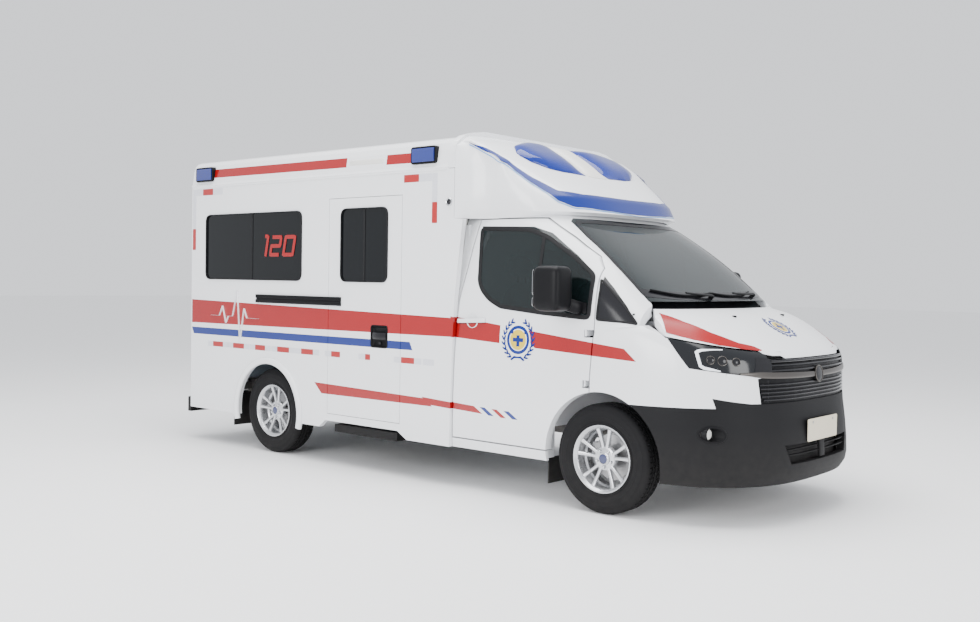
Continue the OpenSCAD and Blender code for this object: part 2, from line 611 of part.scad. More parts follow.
// --- Wheels ---
module knuckle_left() color("dimgray") front() {
  translate([0, kingpin_y - 40, tyre_r]) rotate([-90, 0, 0]) cylinder(h = 60, r = 60);
  translate([0, kingpin_y, tyre_r]) rotate([-90, 0, 0]) cylinder(h = stub_y - kingpin_y, r = 30);
  translate([0, kingpin_y - 70, tyre_r - 94 + seat_gap]) cylinder(h = 160, r = 26);
  // Kingpin, on the steering axis.
  translate([0, kingpin_y, tyre_r - 80]) cylinder(h = 160, r = 20);
  block([-40, kingpin_y - 80, tyre_r - 30], [40, kingpin_y - 20, tyre_r + 50]);
  // Brake disc, caliper and steering arm.
  translate([0, kingpin_y + 20, tyre_r]) rotate([-90, 0, 0]) cylinder(h = 24, r = 142);
  block([-150, kingpin_y - 30, tyre_r - 20], [-90, kingpin_y + 55, tyre_r + 80]);
  block([-140, kingpin_y - 60, tyre_r - 20], [-30, kingpin_y - 25, tyre_r + 10]);
}
module knuckle_right() mirror([0, 1, 0]) knuckle_left();
// A wheel about its own centre, with its outer face towards +Y.
module tyre() color("black") rotate([90, 0, 0]) rotate_extrude($fn = 96) {
  w = tyre_w / 2;
  polygon([[rim_r - 15, -w + 22], [rim_r + 10, -w + 8], [rim_r + 55, -w], [tyre_r - 40, -w + 2], [tyre_r - 12, -w + 14],
    [tyre_r - 2, -w + 32], [tyre_r, -w + 50], [tyre_r, w - 50], [tyre_r - 2, w - 32], [tyre_r - 12, w - 14],
    [tyre_r - 40, w - 2], [rim_r + 55, w], [rim_r + 10, w - 8], [rim_r - 15, w - 22]]);
}
spoke_pairs = 5;
module rim() color("silver") rotate([-90, 0, 0]) {
  w = tyre_w / 2;
  bead = rim_r - 15;
  rotate_extrude($fn = 96) polygon([[bead - 0.6, -w + 22], [bead - 0.6, w - 22 + seat_gap],
    [rim_r - 2, w - 14.4 + seat_gap], [rim_r - 3, w - 10], [rim_r - 20, w - 14], [bead - 14, w - 36],
    [bead - 14, -w + 36], [bead - 8, -w + 22]]);
  difference() {
    translate([0, 0, w - 72]) cylinder(h = 36, r = 78);
    translate([0, 0, w - 76]) cylinder(h = 25, r = 30 + seat_gap);
  }
  // Spokes in pairs, each pair a narrow V from the hub.
  translate([0, 0, w - 62]) linear_extrude(26) for (k = [0:spoke_pairs - 1], s = [-1, 1])
    rotate(360 * k / spoke_pairs) polygon([[66, s * 4], [66, s * 26], [bead - 16, s * 58], [bead - 8, s * 34]]);
}
module place_wheel(x, side) translate([x, side * wheel_y, tyre_r])
  rotate([0, 0, side > 0 ? 0 : 180]) children();
module tyre_front_left() place_wheel(front_axle_x, 1) tyre();
module tyre_front_right() place_wheel(front_axle_x, -1) tyre();
module tyre_rear_left() place_wheel(rear_axle_x, 1) tyre();
module tyre_rear_right() place_wheel(rear_axle_x, -1) tyre();
module rim_front_left() place_wheel(front_axle_x, 1) rim();
module rim_front_right() place_wheel(front_axle_x, -1) rim();
module rim_rear_left() place_wheel(rear_axle_x, 1) rim();
module rim_rear_right() place_wheel(rear_axle_x, -1) rim();

chassis_frame();
rear_axle();
front_suspension();
engine();
exhaust();
fuel_tank();
cab_shell();
fenders();
hood();
windscreen();
quarter_glass();
cowl();
front_bumper();
bumper_corners();
grille();
headlights();
dashboard();
steering_wheel();
cab_seats();
cab_door_right();
cab_door_left();
door_glass_right();
door_glass_left();
mirror_right();
mirror_left();
box_floor();
box_side_right();
box_side_left();
box_roof();
bulkhead();
rear_frame();
side_windows();
sliding_door();
door_rail();
roof_fairing();
beacons();
strobe_lights();
side_step();
rear_bumper();
tail_lights();
mudflaps();
rear_door_right();
rear_door_left();
rear_glass_right();
rear_glass_left();
knuckle_right();
knuckle_left();
tyre_front_right();
tyre_front_left();
tyre_rear_right();
tyre_rear_left();
rim_front_right();
rim_front_left();
rim_rear_right();
rim_rear_left();
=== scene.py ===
import json
import math
from itertools import product

import bmesh
import bpy
import numpy as np
from mathutils import Matrix, Vector


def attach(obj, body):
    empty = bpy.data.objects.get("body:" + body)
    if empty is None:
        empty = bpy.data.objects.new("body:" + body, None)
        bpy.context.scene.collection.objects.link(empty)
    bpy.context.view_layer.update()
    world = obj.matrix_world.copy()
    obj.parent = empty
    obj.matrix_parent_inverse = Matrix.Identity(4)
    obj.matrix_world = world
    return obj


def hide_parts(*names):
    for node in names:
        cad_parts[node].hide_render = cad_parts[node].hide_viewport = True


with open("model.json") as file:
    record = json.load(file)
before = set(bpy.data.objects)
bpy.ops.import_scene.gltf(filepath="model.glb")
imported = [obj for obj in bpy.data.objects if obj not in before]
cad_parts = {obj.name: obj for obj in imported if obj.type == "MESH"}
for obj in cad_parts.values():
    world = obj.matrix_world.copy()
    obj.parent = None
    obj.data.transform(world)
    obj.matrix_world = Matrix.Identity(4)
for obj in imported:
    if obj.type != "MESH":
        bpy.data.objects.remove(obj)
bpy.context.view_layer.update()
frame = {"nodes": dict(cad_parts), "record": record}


# --- Studio ---
# A pale sheet on the ground with a big soft box over the vehicle and a weaker one on each side.
# The camera stands ahead of the right front wheel at chest height.
CAMERA_AT = (5.478, -6.441, 1.465)
SENSOR = 36.0
FOCAL = 1052.7 / 980
CAMERA_TURN = math.radians(40.59)
CAMERA_DROP = math.radians(1.69)
CAMERA_ROLL = math.radians(0.93)


def camera_axes(turn, drop, roll):
    """Columns right, up and back: forward turns from +Y towards -X and drops, then the frame is rolled."""
    forward = np.array([-math.sin(turn) * math.cos(drop), math.cos(turn) * math.cos(drop), -math.sin(drop)])
    right = np.array([math.cos(turn), math.sin(turn), 0.0])
    up = np.cross(right, forward)
    right, up = (right * math.cos(roll) + up * math.sin(roll), up * math.cos(roll) - right * math.sin(roll))
    return np.stack([right, up, -forward], axis=1)


camera = bpy.data.objects.new("camera", bpy.data.cameras.new("camera"))
camera.data.sensor_width = SENSOR
camera.data.lens = SENSOR * FOCAL
camera.matrix_world = (Matrix.Translation(CAMERA_AT)
                       @ Matrix(camera_axes(CAMERA_TURN, CAMERA_DROP, CAMERA_ROLL)).to_4x4())
bpy.context.scene.collection.objects.link(camera)
bpy.context.scene.camera = camera

world = bpy.data.worlds.new("studio")
world.use_nodes = True
world.node_tree.nodes["Background"].inputs["Color"].default_value = (0.94, 0.96, 1.0, 1.0)
world.node_tree.nodes["Background"].inputs["Strength"].default_value = 1.25
bpy.context.scene.world = world


def soft_box(name, size, place, aim, watts):
    """A square area light at a place, turned to face a point."""
    lamp = bpy.data.objects.new(name, bpy.data.lights.new(name, "AREA"))
    lamp.data.shape = "SQUARE"
    lamp.data.size = size
    lamp.data.energy = watts
    toward = Vector(aim) - Vector(place)
    lamp.matrix_world = Matrix.Translation(place) @ toward.to_track_quat("-Z", "Y").to_matrix().to_4x4()
    bpy.context.scene.collection.objects.link(lamp)


soft_box("overhead", 7.0, (0.5, -1.0, 7.5), (0.0, 0.0, 0.5), 950.0)
soft_box("right_fill", 4.0, (1.0, -9.0, 3.2), (0.0, 0.0, 1.2), 430.0)
soft_box("front_fill", 3.0, (9.0, -2.0, 3.0), (0.0, 0.0, 1.2), 260.0)


def noise(nodes, links, vector, scale, detail=4.0):
    """A noise texture node read at a vector times a scale."""
    node = nodes.new("ShaderNodeTexNoise")
    node.inputs["Detail"].default_value = detail
    links.new(vector, node.inputs["Vector"])
    if isinstance(scale, float):
        node.inputs["Scale"].default_value = scale
    else:
        links.new(scale, node.inputs["Scale"])
    return node


def maths(nodes, links, kind, a, b=0.0, clamp=False):
    """One maths node; each input is a socket or a number."""
    node = nodes.new("ShaderNodeMath")
    node.operation = kind
    node.use_clamp = clamp
    for socket, value in zip(node.inputs, (a, b)):
        if isinstance(value, (int, float)):
            socket.default_value = value
        else:
            links.new(value, socket)
    return node.outputs[0]


def mixed(nodes, links, mask, a, b):
    """A colour mix node; each colour is a socket or four numbers."""
    node = nodes.new("ShaderNodeMix")
    node.data_type = "RGBA"
    for socket, value in ((node.inputs[0], mask), (node.inputs[6], a), (node.inputs[7], b)):
        if isinstance(value, (tuple, float)):
            socket.default_value = value
        else:
            links.new(value, socket)
    return node.outputs[2]


def group(name, inputs, outputs):
    """An empty shader group with named sockets: returns it, its nodes, links, input and output nodes."""
    tree = bpy.data.node_groups.new(name, "ShaderNodeTree")
    for side, sockets in (("INPUT", inputs), ("OUTPUT", outputs)):
        for label, kind, value in sockets:
            socket = tree.interface.new_socket(name=label, in_out=side, socket_type="NodeSocket" + kind)
            if value is not None:
                socket.default_value = value
    return tree, tree.nodes, tree.links, tree.nodes.new("NodeGroupInput"), tree.nodes.new("NodeGroupOutput")


# Grain: a fine texture with slow tone changes, and road dust that thins out with height.
surface_group, nodes, links, gin, gout = group(
    "weathered_surface",
    [("Color", "Color", (1, 1, 1, 1)), ("Scale", "Float", 300.0), ("Tone", "Float", 0.05),
     ("Roughness", "Float", 0.4), ("Spread", "Float", 0.1), ("Dust", "Float", 0.1),
     ("Dust Top", "Float", 0.6)],
    [("Color", "Color", None), ("Roughness", "Float", None), ("Height", "Float", None)])
spot = nodes.new("ShaderNodeTexCoord").outputs["Object"]
apart = nodes.new("ShaderNodeSeparateXYZ")
links.new(spot, apart.inputs[0])
fine = noise(nodes, links, spot, gin.outputs["Scale"], 3.0).outputs[0]
slow = noise(nodes, links, spot, 3.5, 5.0).outputs[0]
patch = noise(nodes, links, spot, 24.0, 6.0).outputs[0]
height_left = maths(nodes, links, "DIVIDE", apart.outputs[2], gin.outputs["Dust Top"])
near_road = maths(nodes, links, "SUBTRACT", 1.0, height_left, True)
dust = maths(nodes, links, "MULTIPLY", near_road, maths(nodes, links, "MULTIPLY", patch,
                                                        gin.outputs["Dust"]))
dust = maths(nodes, links, "MULTIPLY", dust, 2.0, True)
wander = maths(nodes, links, "MULTIPLY", maths(nodes, links, "SUBTRACT", slow, 0.5), gin.outputs["Tone"])
speck = maths(nodes, links, "MULTIPLY", maths(nodes, links, "SUBTRACT", fine, 0.5), gin.outputs["Tone"])
toned = nodes.new("ShaderNodeHueSaturation")
links.new(gin.outputs["Color"], toned.inputs["Color"])
links.new(maths(nodes, links, "ADD", 1.0, maths(nodes, links, "ADD", wander, speck)), toned.inputs["Value"])
links.new(mixed(nodes, links, dust, toned.outputs[0], (0.32, 0.29, 0.25, 1.0)), gout.inputs["Color"])
loose = maths(nodes, links, "MULTIPLY", maths(nodes, links, "SUBTRACT", slow, 0.5), gin.outputs["Spread"])
rougher = maths(nodes, links, "ADD", maths(nodes, links, "ADD", gin.outputs["Roughness"], loose),
                maths(nodes, links, "MULTIPLY", dust, 0.4), True)
links.new(rougher, gout.inputs["Roughness"])
links.new(fine, gout.inputs["Height"])


finishes = {}


def finish(name, color, rough, scale=300.0, tone=0.06, bump=0.1, depth=0.0004, dust=0.1, top=0.6,
           spread=0.12, metal=0.0, **plain):
    """Files a material on the weathered surface group: colour, roughness and bump vary, the rest stay."""
    made = bpy.data.materials.new(name)
    made.use_nodes = True
    nodes, links = made.node_tree.nodes, made.node_tree.links
    skin = nodes["Principled BSDF"]
    look = nodes.new("ShaderNodeGroup")
    look.node_tree = surface_group
    look.label = "weathered surface"
    for label, value in (("Color", (*color, 1.0)), ("Scale", scale), ("Tone", tone), ("Roughness", rough),
                         ("Spread", spread), ("Dust", dust), ("Dust Top", top)):
        look.inputs[label].default_value = value
    links.new(look.outputs["Color"], skin.inputs["Base Color"])
    links.new(look.outputs["Roughness"], skin.inputs["Roughness"])
    relief = nodes.new("ShaderNodeBump")
    relief.inputs["Strength"].default_value = bump
    relief.inputs["Distance"].default_value = depth
    links.new(look.outputs["Height"], relief.inputs["Height"])
    links.new(relief.outputs[0], skin.inputs["Normal"])
    skin.inputs["Metallic"].default_value = metal
    for label, value in plain.items():
        skin.inputs[label.replace("_", " ")].default_value = value
    finishes[name] = made
    return made


floor_paper = finish("floor_paper", (0.93, 0.93, 0.93), 0.9, scale=60.0, tone=0.02, bump=0.05, dust=0.0)
floor_mesh = bpy.data.meshes.new("studio_floor")
floor_mesh.from_pydata([(-60, -60, 0), (60, -60, 0), (60, 60, 0), (-60, 60, 0)], [], [(0, 1, 2, 3)])
floor_mesh.materials.append(floor_paper)
studio_floor = bpy.data.objects.new("studio_floor", floor_mesh)
bpy.context.scene.collection.objects.link(studio_floor)


# --- Finishes of the carried-over parts ---
# Each CAD node takes the finish of its slot: pressed and welded steel underneath, moulded plastic,
# vinyl on the patient floor, and pale laminate lining. None is a single flat colour.
finish("frame_black", (0.035, 0.035, 0.04), 0.55, 120.0, 0.3, 0.4, 0.001, 0.5, 0.9)
finish("cast_metal", (0.22, 0.22, 0.23), 0.5, 90.0, 0.3, 0.5, 0.001, 0.5, 0.9, metal=0.8)
finish("exhaust_steel", (0.36, 0.33, 0.3), 0.42, 160.0, 0.3, 0.2, 0.0006, 0.4, 0.7, metal=0.9)
finish("engine_metal", (0.3, 0.3, 0.31), 0.45, 110.0, 0.25, 0.4, 0.001, 0.3, 1.2, metal=0.8)
finish("bumper_plastic", (0.006, 0.006, 0.007), 0.6, 900.0, 0.25, 0.35, 0.0004, 0.04, 0.6,
       Specular_IOR_Level=0.18)
finish("black_plastic", (0.004, 0.004, 0.005), 0.42, 800.0, 0.2, 0.25, 0.0003, 0.03, 0.6,
       Specular_IOR_Level=0.15)
finish("gloss_black", (0.008, 0.008, 0.01), 0.15, 500.0, 0.15, 0.03, 0.0002, 0.02, 0.6,
       Specular_IOR_Level=0.35)
finish("floor_vinyl", (0.2, 0.24, 0.28), 0.5, 220.0, 0.5, 0.3, 0.0005, 0.0)
finish("lining", (0.78, 0.78, 0.75), 0.38, 350.0, 0.05, 0.1, 0.0003, 0.0)
finish("seat_cloth", (0.05, 0.055, 0.065), 0.85, 700.0, 0.5, 0.6, 0.001, 0.0, Sheen_Weight=0.3)
finish("tyre_rubber", (0.005, 0.005, 0.006), 0.75, 260.0, 0.3, 0.35, 0.0008, 0.02, 0.7,
       Specular_IOR_Level=0.2)
finish("alloy", (0.66, 0.67, 0.69), 0.24, 600.0, 0.08, 0.06, 0.0002, 0.15, 0.7, metal=0.85)
finish("disc_steel", (0.42, 0.42, 0.43), 0.32, 500.0, 0.25, 0.2, 0.0004, 0.25, 0.7, metal=0.95)
finish("rubber", (0.006, 0.006, 0.007), 0.65, 500.0, 0.2, 0.25, 0.0004, 0.06, 0.7, Specular_IOR_Level=0.25)
finish("white_grp", (0.84, 0.85, 0.87), 0.2, 420.0, 0.02, 0.04, 0.0003, 0.12, 0.5,
       Coat_Weight=0.3, Coat_Roughness=0.1)
finish("lamp_lens", (0.006, 0.007, 0.009), 0.12, 300.0, 0.1, 0.03, 0.0002, 0.02, Specular_IOR_Level=0.4)
finish("red_lens", (0.3, 0.003, 0.004), 0.16, 90.0, 0.2, 0.25, 0.0012, 0.03)


def glass(name, tint, rough, through, dirt=0.04, **plain):
    """Tinted glass: constant transmission, with faint wiping marks in its roughness."""
    made = finish(name, tint, rough, 6.0, 0.04, 0.0, 0.0001, dirt, 1.2, 0.02, **plain)
    skin = made.node_tree.nodes["Principled BSDF"]
    skin.inputs["Transmission Weight"].default_value = through
    skin.inputs["IOR"].default_value = 1.45


glass("cab_glass", (0.05, 0.085, 0.09), 0.0, 0.92, 0.01)
glass("dark_glass", (0.004, 0.005, 0.006), 0.05, 0.12, Specular_IOR_Level=0.3)
glass("blue_lens", (0.006, 0.03, 0.3), 0.06, 0.35)
bodies = frame["record"]["behaviour"]["bodies"]
body_of = {node: body for body, inside in bodies.items() for node in inside}
slot_of = {part["node"]: part["material_slot"] for part in frame["record"]["subparts"]}
for node, obj in frame["nodes"].items():
    obj.data.materials.clear()
    if slot_of[node] in finishes:
        obj.data.materials.append(finishes[slot_of[node]])


# --- Painted body ---
# Steel cab and moulded resin box in one white paint. The stripes are vinyl film laid over the shut
# lines, so every panel on a side shares one pattern, set out in metres along and up the vehicle.
stripe_group, nodes, links, gin, gout = group(
    "stripe", [("Vector", "Vector", None), ("X Low", "Float", 0.0), ("X High", "Float", 1.0),
               ("Low At 0", "Float", 0.0), ("Low Slope", "Float", 0.0), ("High At 0", "Float", 0.0),
               ("High Slope", "Float", 0.0), ("End Slant", "Float", 0.0)],
    [("Mask", "Float", None)])
apart = nodes.new("ShaderNodeSeparateXYZ")
links.new(gin.outputs["Vector"], apart.inputs[0])
along, up = apart.outputs[0], apart.outputs[2]
lean = maths(nodes, links, "MULTIPLY", maths(nodes, links, "SUBTRACT", up, 1.0), gin.outputs["End Slant"])
slid = maths(nodes, links, "SUBTRACT", along, lean)
inside = maths(nodes, links, "GREATER_THAN", slid, gin.outputs["X Low"])
inside = maths(nodes, links, "MULTIPLY", inside, maths(nodes, links, "LESS_THAN", slid,
                                                       gin.outputs["X High"]))
for kind, foot, slope in (("GREATER_THAN", "Low At 0", "Low Slope"),
                          ("LESS_THAN", "High At 0", "High Slope")):
    edge = maths(nodes, links, "ADD", gin.outputs[foot],
                 maths(nodes, links, "MULTIPLY", along, gin.outputs[slope]))
    inside = maths(nodes, links, "MULTIPLY", inside, maths(nodes, links, kind, up, edge))
links.new(inside, gout.inputs["Mask"])

# Each stripe: film, low end x, high end x, slant of its ends, then (x, z) twice on its lower edge and
# twice on its upper edge, in metres.
STRIPES = (
    ("red", -2.665, 0.478, 0.0, (-2.667, 1.046), (0.485, 1.062), (-2.667, 1.251), (0.485, 1.195)),
    ("red", 0.478, 0.905, 0.0, (0.501, 1.06), (1.992, 0.98), (0.501, 1.203), (1.903, 1.055)),
    ("red", 1.235, 1.968, -1.187, (0.501, 1.06), (1.992, 0.98), (0.501, 1.203), (1.903, 1.055)),
    ("blue", -2.663, 0.083, -0.5, (-2.663, 0.947), (0.083, 0.947), (-2.663, 1.006), (0.083, 1.006)),
    ("red", -1.356, -0.15, -1.04, (-0.893, 0.553), (0.497, 0.558), (-0.893, 0.634), (0.497, 0.604)),
    ("red", -0.4, 0.045, -1.59, (0.497, 0.558), (0.767, 0.546), (0.497, 0.604), (0.692, 0.594)),
    ("blue", 0.0925, 0.1395, -1.59, (0.77, 0.541), (0.86, 0.54), (0.77, 0.592), (0.86, 0.592)),
    ("red", 0.194, 0.241, -1.59, (0.85, 0.536), (0.97, 0.536), (0.85, 0.588), (0.97, 0.588)),
    ("blue", 0.294, 0.341, -1.59, (0.95, 0.535), (1.07, 0.535), (0.95, 0.585), (1.07, 0.585)),
    ("red", -2.372, -0.639, 0.0, (-2.387, 2.315), (-0.639, 2.308), (-2.387, 2.389), (-0.639, 2.382)),
    ("red", -0.198, 0.11, 0.0, (-0.198, 2.302), (0.075, 2.3), (-0.198, 2.376), (0.075, 2.374)),
)
FILMS = {"red": (0.3, 0.002, 0.004, 1.0), "blue": (0.006, 0.022, 0.18, 1.0)}

livery_group, nodes, links, gin, gout = group(
    "side_livery", [("Paint", "Color", (1, 1, 1, 1))], [("Color", "Color", None)])
spot = nodes.new("ShaderNodeTexCoord").outputs["Object"]
apart = nodes.new("ShaderNodeSeparateXYZ")
links.new(spot, apart.inputs[0])
# Only the outer skin: 1.0 m or more from the middle on the box, 0.95 m on the cab.
cabward = maths(nodes, links, "GREATER_THAN", apart.outputs[0], 0.485)
skin_line = maths(nodes, links, "SUBTRACT", 1.0, maths(nodes, links, "MULTIPLY", cabward, 0.05))
outside = maths(nodes, links, "GREATER_THAN", maths(nodes, links, "ABSOLUTE", apart.outputs[1]), skin_line)
masks = {"red": 0.0, "blue": 0.0}
for film, low, high, slant, low_a, low_b, high_a, high_b in STRIPES:
    band = nodes.new("ShaderNodeGroup")
    band.node_tree = stripe_group
    low_slope = (low_b[1] - low_a[1]) / (low_b[0] - low_a[0])
    high_slope = (high_b[1] - high_a[1]) / (high_b[0] - high_a[0])
    for label, value in (("X Low", low), ("X High", high), ("Low At 0", low_a[1] - low_a[0] * low_slope),
                         ("Low Slope", low_slope), ("High At 0", high_a[1] - high_a[0] * high_slope),
                         ("High Slope", high_slope), ("End Slant", slant)):
        band.inputs[label].default_value = value
    links.new(spot, band.inputs["Vector"])
    masks[film] = maths(nodes, links, "MAXIMUM", masks[film], band.outputs[0])
color = gin.outputs["Paint"]
for film, mask in masks.items():
    color = mixed(nodes, links, maths(nodes, links, "MULTIPLY", mask, outside), color, FILMS[film])
links.new(color, gout.inputs["Color"])


def striped(made, paint):
    """Feeds the side livery, over this paint colour, into a material's weathered surface."""
    nodes, links = made.node_tree.nodes, made.node_tree.links
    films = nodes.new("ShaderNodeGroup")
    films.node_tree = livery_group
    films.label = "side livery"
    films.inputs["Paint"].default_value = (*paint, 1.0)
    look = next(n for n in nodes if n.label == "weathered surface")
    links.new(films.outputs[0], look.inputs["Color"])


BODY_WHITE = (0.84, 0.85, 0.87)
finish("white_paint", BODY_WHITE, 0.22, 520.0, 0.02, 0.03, 0.0002, 0.12, 0.5, Coat_Weight=0.3,
       Coat_Roughness=0.1)
striped(finishes["white_paint"], BODY_WHITE)
striped(finishes["white_grp"], BODY_WHITE)

# The cab's outer form in millimetres ahead of the front axle: half width and setback at each height.
FRONT_AXLE = 1.735
REAR_AXLE = FRONT_AXLE - 3.3
HANDS = (("right", -1.0), ("left", 1.0))
NOSE_BACK = ((250, 40), (300, 8), (350, 0), (450, 5), (563, 18), (700, 40), (750, 44), (913, 48), (985, 56),
             (1030, 75), (1060, 110), (1100, 172), (1140, 236), (1180, 302), (1210, 355), (1240, 412),
             (1262, 464), (1285, 545), (1300, 620), (1330, 770))
NOSE_HALF = ((250, 985), (350, 1000), (646, 1010), (900, 1006), (1100, 998), (1160, 986), (1190, 972),
             (1215, 950), (1240, 915), (1270, 865), (1300, 790), (1330, 690))
CABIN_HALF = ((290, 980), (350, 996), (646, 1006), (900, 1002), (1100, 996), (1190, 992), (1290, 983),
              (1400, 966), (1530, 938), (1700, 905), (1830, 876), (1885, 858), (1920, 830), (1945, 780),
              (1955, 720), (1965, 600))
FAIRING_FRONT = ((1892, -520), (1935, -375), (1960, -395), (2040, -458), (2150, -610), (2262, -800),
                 (2350, -930), (2434, -1070), (2480, -1180), (2510, -1290), (2525, -1370))
FAIRING_HALF = ((1892, 850), (1935, 880), (2040, 905), (2262, 905), (2350, 930), (2434, 955), (2480, 900),
                (2510, 805), (2525, 700))
FAIRING_FLARE = ((1892, 1028), (2350, 1028), (2400, 1018), (2434, 995), (2480, 925), (2510, 820),
                 (2525, 710))
HEIGHTS = np.arange(200.0, 2600.0, 2.0)


def eased(steps, width):
    """Straight lines between the steps, averaged with a hump window of this width in millimetres."""
    straight = np.interp(HEIGHTS, *np.array(steps, float).T)
    window = np.hanning(max(3, int(width) | 1))
    padded = np.pad(straight, len(window) // 2, mode="edge")
    return np.convolve(padded, window / window.sum(), mode="valid")


class Form:
    """The cab and fairing as one number at each point: below zero inside, above zero outside.

    Each level is a superellipse, (forward / length) ^ q + (side / half width) ^ p - 1.
    """

    def __init__(self, width):
        """The tables, each rounded over this width in millimetres of height."""
        names = ("nose_back", "nose_half", "cabin_half", "fair_front", "fair_half", "fair_flare")
        steps = (NOSE_BACK, NOSE_HALF, CABIN_HALF, FAIRING_FRONT, FAIRING_HALF, FAIRING_FLARE)
        self.curves = {name: eased(points, width) for name, points in zip(names, steps)}
        self.curves["cabin_p"] = eased(((1650, 5), (1900, 3.6)), width)
        self.curves["cabin_q"] = eased(((1650, 8), (1900, 5)), width)
        self.curves["cabin_start"] = eased(((1500, -600), (1885, -1180), (1955, -1250)), width)

    def at(self, name, z):
        """One table read at these heights in millimetres."""
        return np.interp(z, HEIGHTS, self.curves[name])

    def nose(self, x, y, z):
        """Hood, fenders and bumper: forward cubed, side to the power 2.8."""
        length = np.maximum(1030 - self.at("nose_back", z), 1)
        value = (np.maximum(x, 0) / length) ** 3 + (np.abs(y) / self.at("nose_half", z)) ** 2.8 - 1
        return np.where(z > 1332, 9.0, value)

    def cabin(self, x, y, z):
        """Windscreen, doors and roof: the length follows the windscreen's lean and its slight bow."""
        start = self.at("cabin_start", z)
        lean = 241 - 1.29 * (z - 1360) + 22 * np.sin(np.pi * np.clip((z - 1360) / 595, -1, 1))
        length = np.maximum(np.where(z < 1190, np.maximum(-60, (z - 1100) * 5), lean) - start, 1)
        value = ((np.maximum(x - start, 0) / length) ** self.at("cabin_q", z)
                 + (np.abs(y) / self.at("cabin_half", z)) ** self.at("cabin_p", z) - 1)
        return np.where(z > 1966, 9.0, value)

    def fairing(self, x, y, z):
        """The roof cap: cubed both ways, its sides flaring back to the box."""
        half = self.at("fair_half", z)
        front = self.at("fair_front", z)
        neck = np.minimum(-980, front - 140)
        back = np.minimum(-1240, neck - 60)
        u = np.clip((x - back) / (neck - back), 0, 1)
        flared = half + (self.at("fair_flare", z) - half) * (1 - u) ** 2
        length = front - neck - 20
        value = (np.maximum(x - neck - 20, 0) / length) ** 3 + (np.abs(y) / flared) ** 3 - 1
        return np.where((z < 1885) | (z > 2530), 9.0, value)

    def value(self, parts, points):
        """The least of the named parts' numbers at points in metres."""
        x, y, z = ((points[..., 0] - FRONT_AXLE) * 1000, points[..., 1] * 1000, points[..., 2] * 1000)
        return np.min([getattr(self, part)(x, y, z) for part in parts], axis=0)

    def slope(self, parts, points):
        """Change of the value in each direction, from small steps either way."""
        step = 0.0015
        return np.stack([(self.value(parts, points + d) - self.value(parts, points - d)) / (2 * step)
                         for d in np.eye(3) * step], axis=-1)

    def outward(self, parts, points):
        """The slope as a unit direction."""
        slope = self.slope(parts, points)
        return slope / np.maximum(np.linalg.norm(slope, axis=-1, keepdims=True), 1e-9)

    def onto(self, parts, points, lift):
        """Slides points down or up the slope to the skin, then lifts them off it."""
        points = np.array(points, float)
        for _ in range(12):
            slope = self.slope(parts, points)
            step = self.value(parts, points)[..., None] * slope / np.maximum((slope ** 2).sum(-1,
                                                                                              keepdims=True),
                                                                             1e-9)
            points = points - np.clip(step, -0.05, 0.05)
        return points + self.outward(parts, points) * lift


shape = Form(5)
gloss = Form(34)


def merged(node):
    """The mesh of a CAD node with its loose triangles joined at their corners."""
    mesh = frame["nodes"][node].data.copy()
    sheet = bmesh.new()
    sheet.from_mesh(mesh)
    bmesh.ops.remove_doubles(sheet, verts=sheet.verts, dist=2e-5)
    sheet.to_mesh(mesh)
    sheet.free()
    return mesh


def stands_for(node, mesh, label=""):
    """An object for a reworked mesh that replaces a CAD node and keeps its slot and body."""
    mesh.name = label or node + "_skin"
    piece = bpy.data.objects.new(mesh.name, mesh)
    bpy.context.scene.collection.objects.link(piece)
    mesh.materials.clear()
    mesh.materials.append(finishes[slot_of[node]])
    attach(piece, body_of[node])
    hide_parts(node)
    return piece


FACING = math.cos(math.radians(24))


def curved_panel(node, *parts):
    """A pressed panel shaded as the true curve: where a facet faces within 24 degrees of the form's own
    direction, its corners take that direction, and elsewhere they keep the facet's."""
    mesh = merged(node)
    count = len(mesh.loops)
    corner = np.empty(count, np.int32)
    mesh.loops.foreach_get("vertex_index", corner)
    spots = np.empty(len(mesh.vertices) * 3)
    mesh.vertices.foreach_get("co", spots)
    facing = np.empty(len(mesh.polygons) * 3)
    mesh.polygons.foreach_get("normal", facing)
    sizes = np.empty(len(mesh.polygons), np.int32)
    mesh.polygons.foreach_get("loop_total", sizes)
    facing = np.repeat(facing.reshape(-1, 3), sizes, axis=0)
    # The form is read a little way from the corner towards the facet's middle, off the seams.
    spots = spots.reshape(-1, 3)
    centres = np.empty(len(mesh.polygons) * 3)
    mesh.polygons.foreach_get("center", centres)
    near = spots[corner] * 0.97 + np.repeat(centres.reshape(-1, 3), sizes, axis=0) * 0.03
    smooth = gloss.outward(parts, near)
    agree = (smooth * facing).sum(-1)
    close, away = agree > FACING, agree < -FACING
    turned = np.where(close[:, None], smooth, np.where(away[:, None], -smooth, facing))
    mesh.shade_smooth()
    mesh.normals_split_custom_set(turned)
    return stands_for(node, mesh)


for node in ("cab_shell", "fenders", "hood", "bumper_corners", "cab_door_right", "cab_door_left"):
    curved_panel(node, "nose", "cabin")
curved_panel("roof_fairing", "fairing")
for node in ("windscreen", "quarter_glass", "door_glass_right", "door_glass_left"):
    curved_panel(node, "cabin", "nose")
curved_panel("front_bumper", "nose")


# --- Wheels ---
# Van tyres of 700 mm with four grooves and cross sipes, on cast alloy rims of ten spokes in five pairs,
# held by five chromed nuts round a dark blue cap. A vented steel disc shows behind the spokes.
TYRE_R, WHEEL_Y, AXLE_Z = 0.35, 0.885, 0.35
SPOKE_PAIRS = 5
NUT_CIRCLE = 0.055


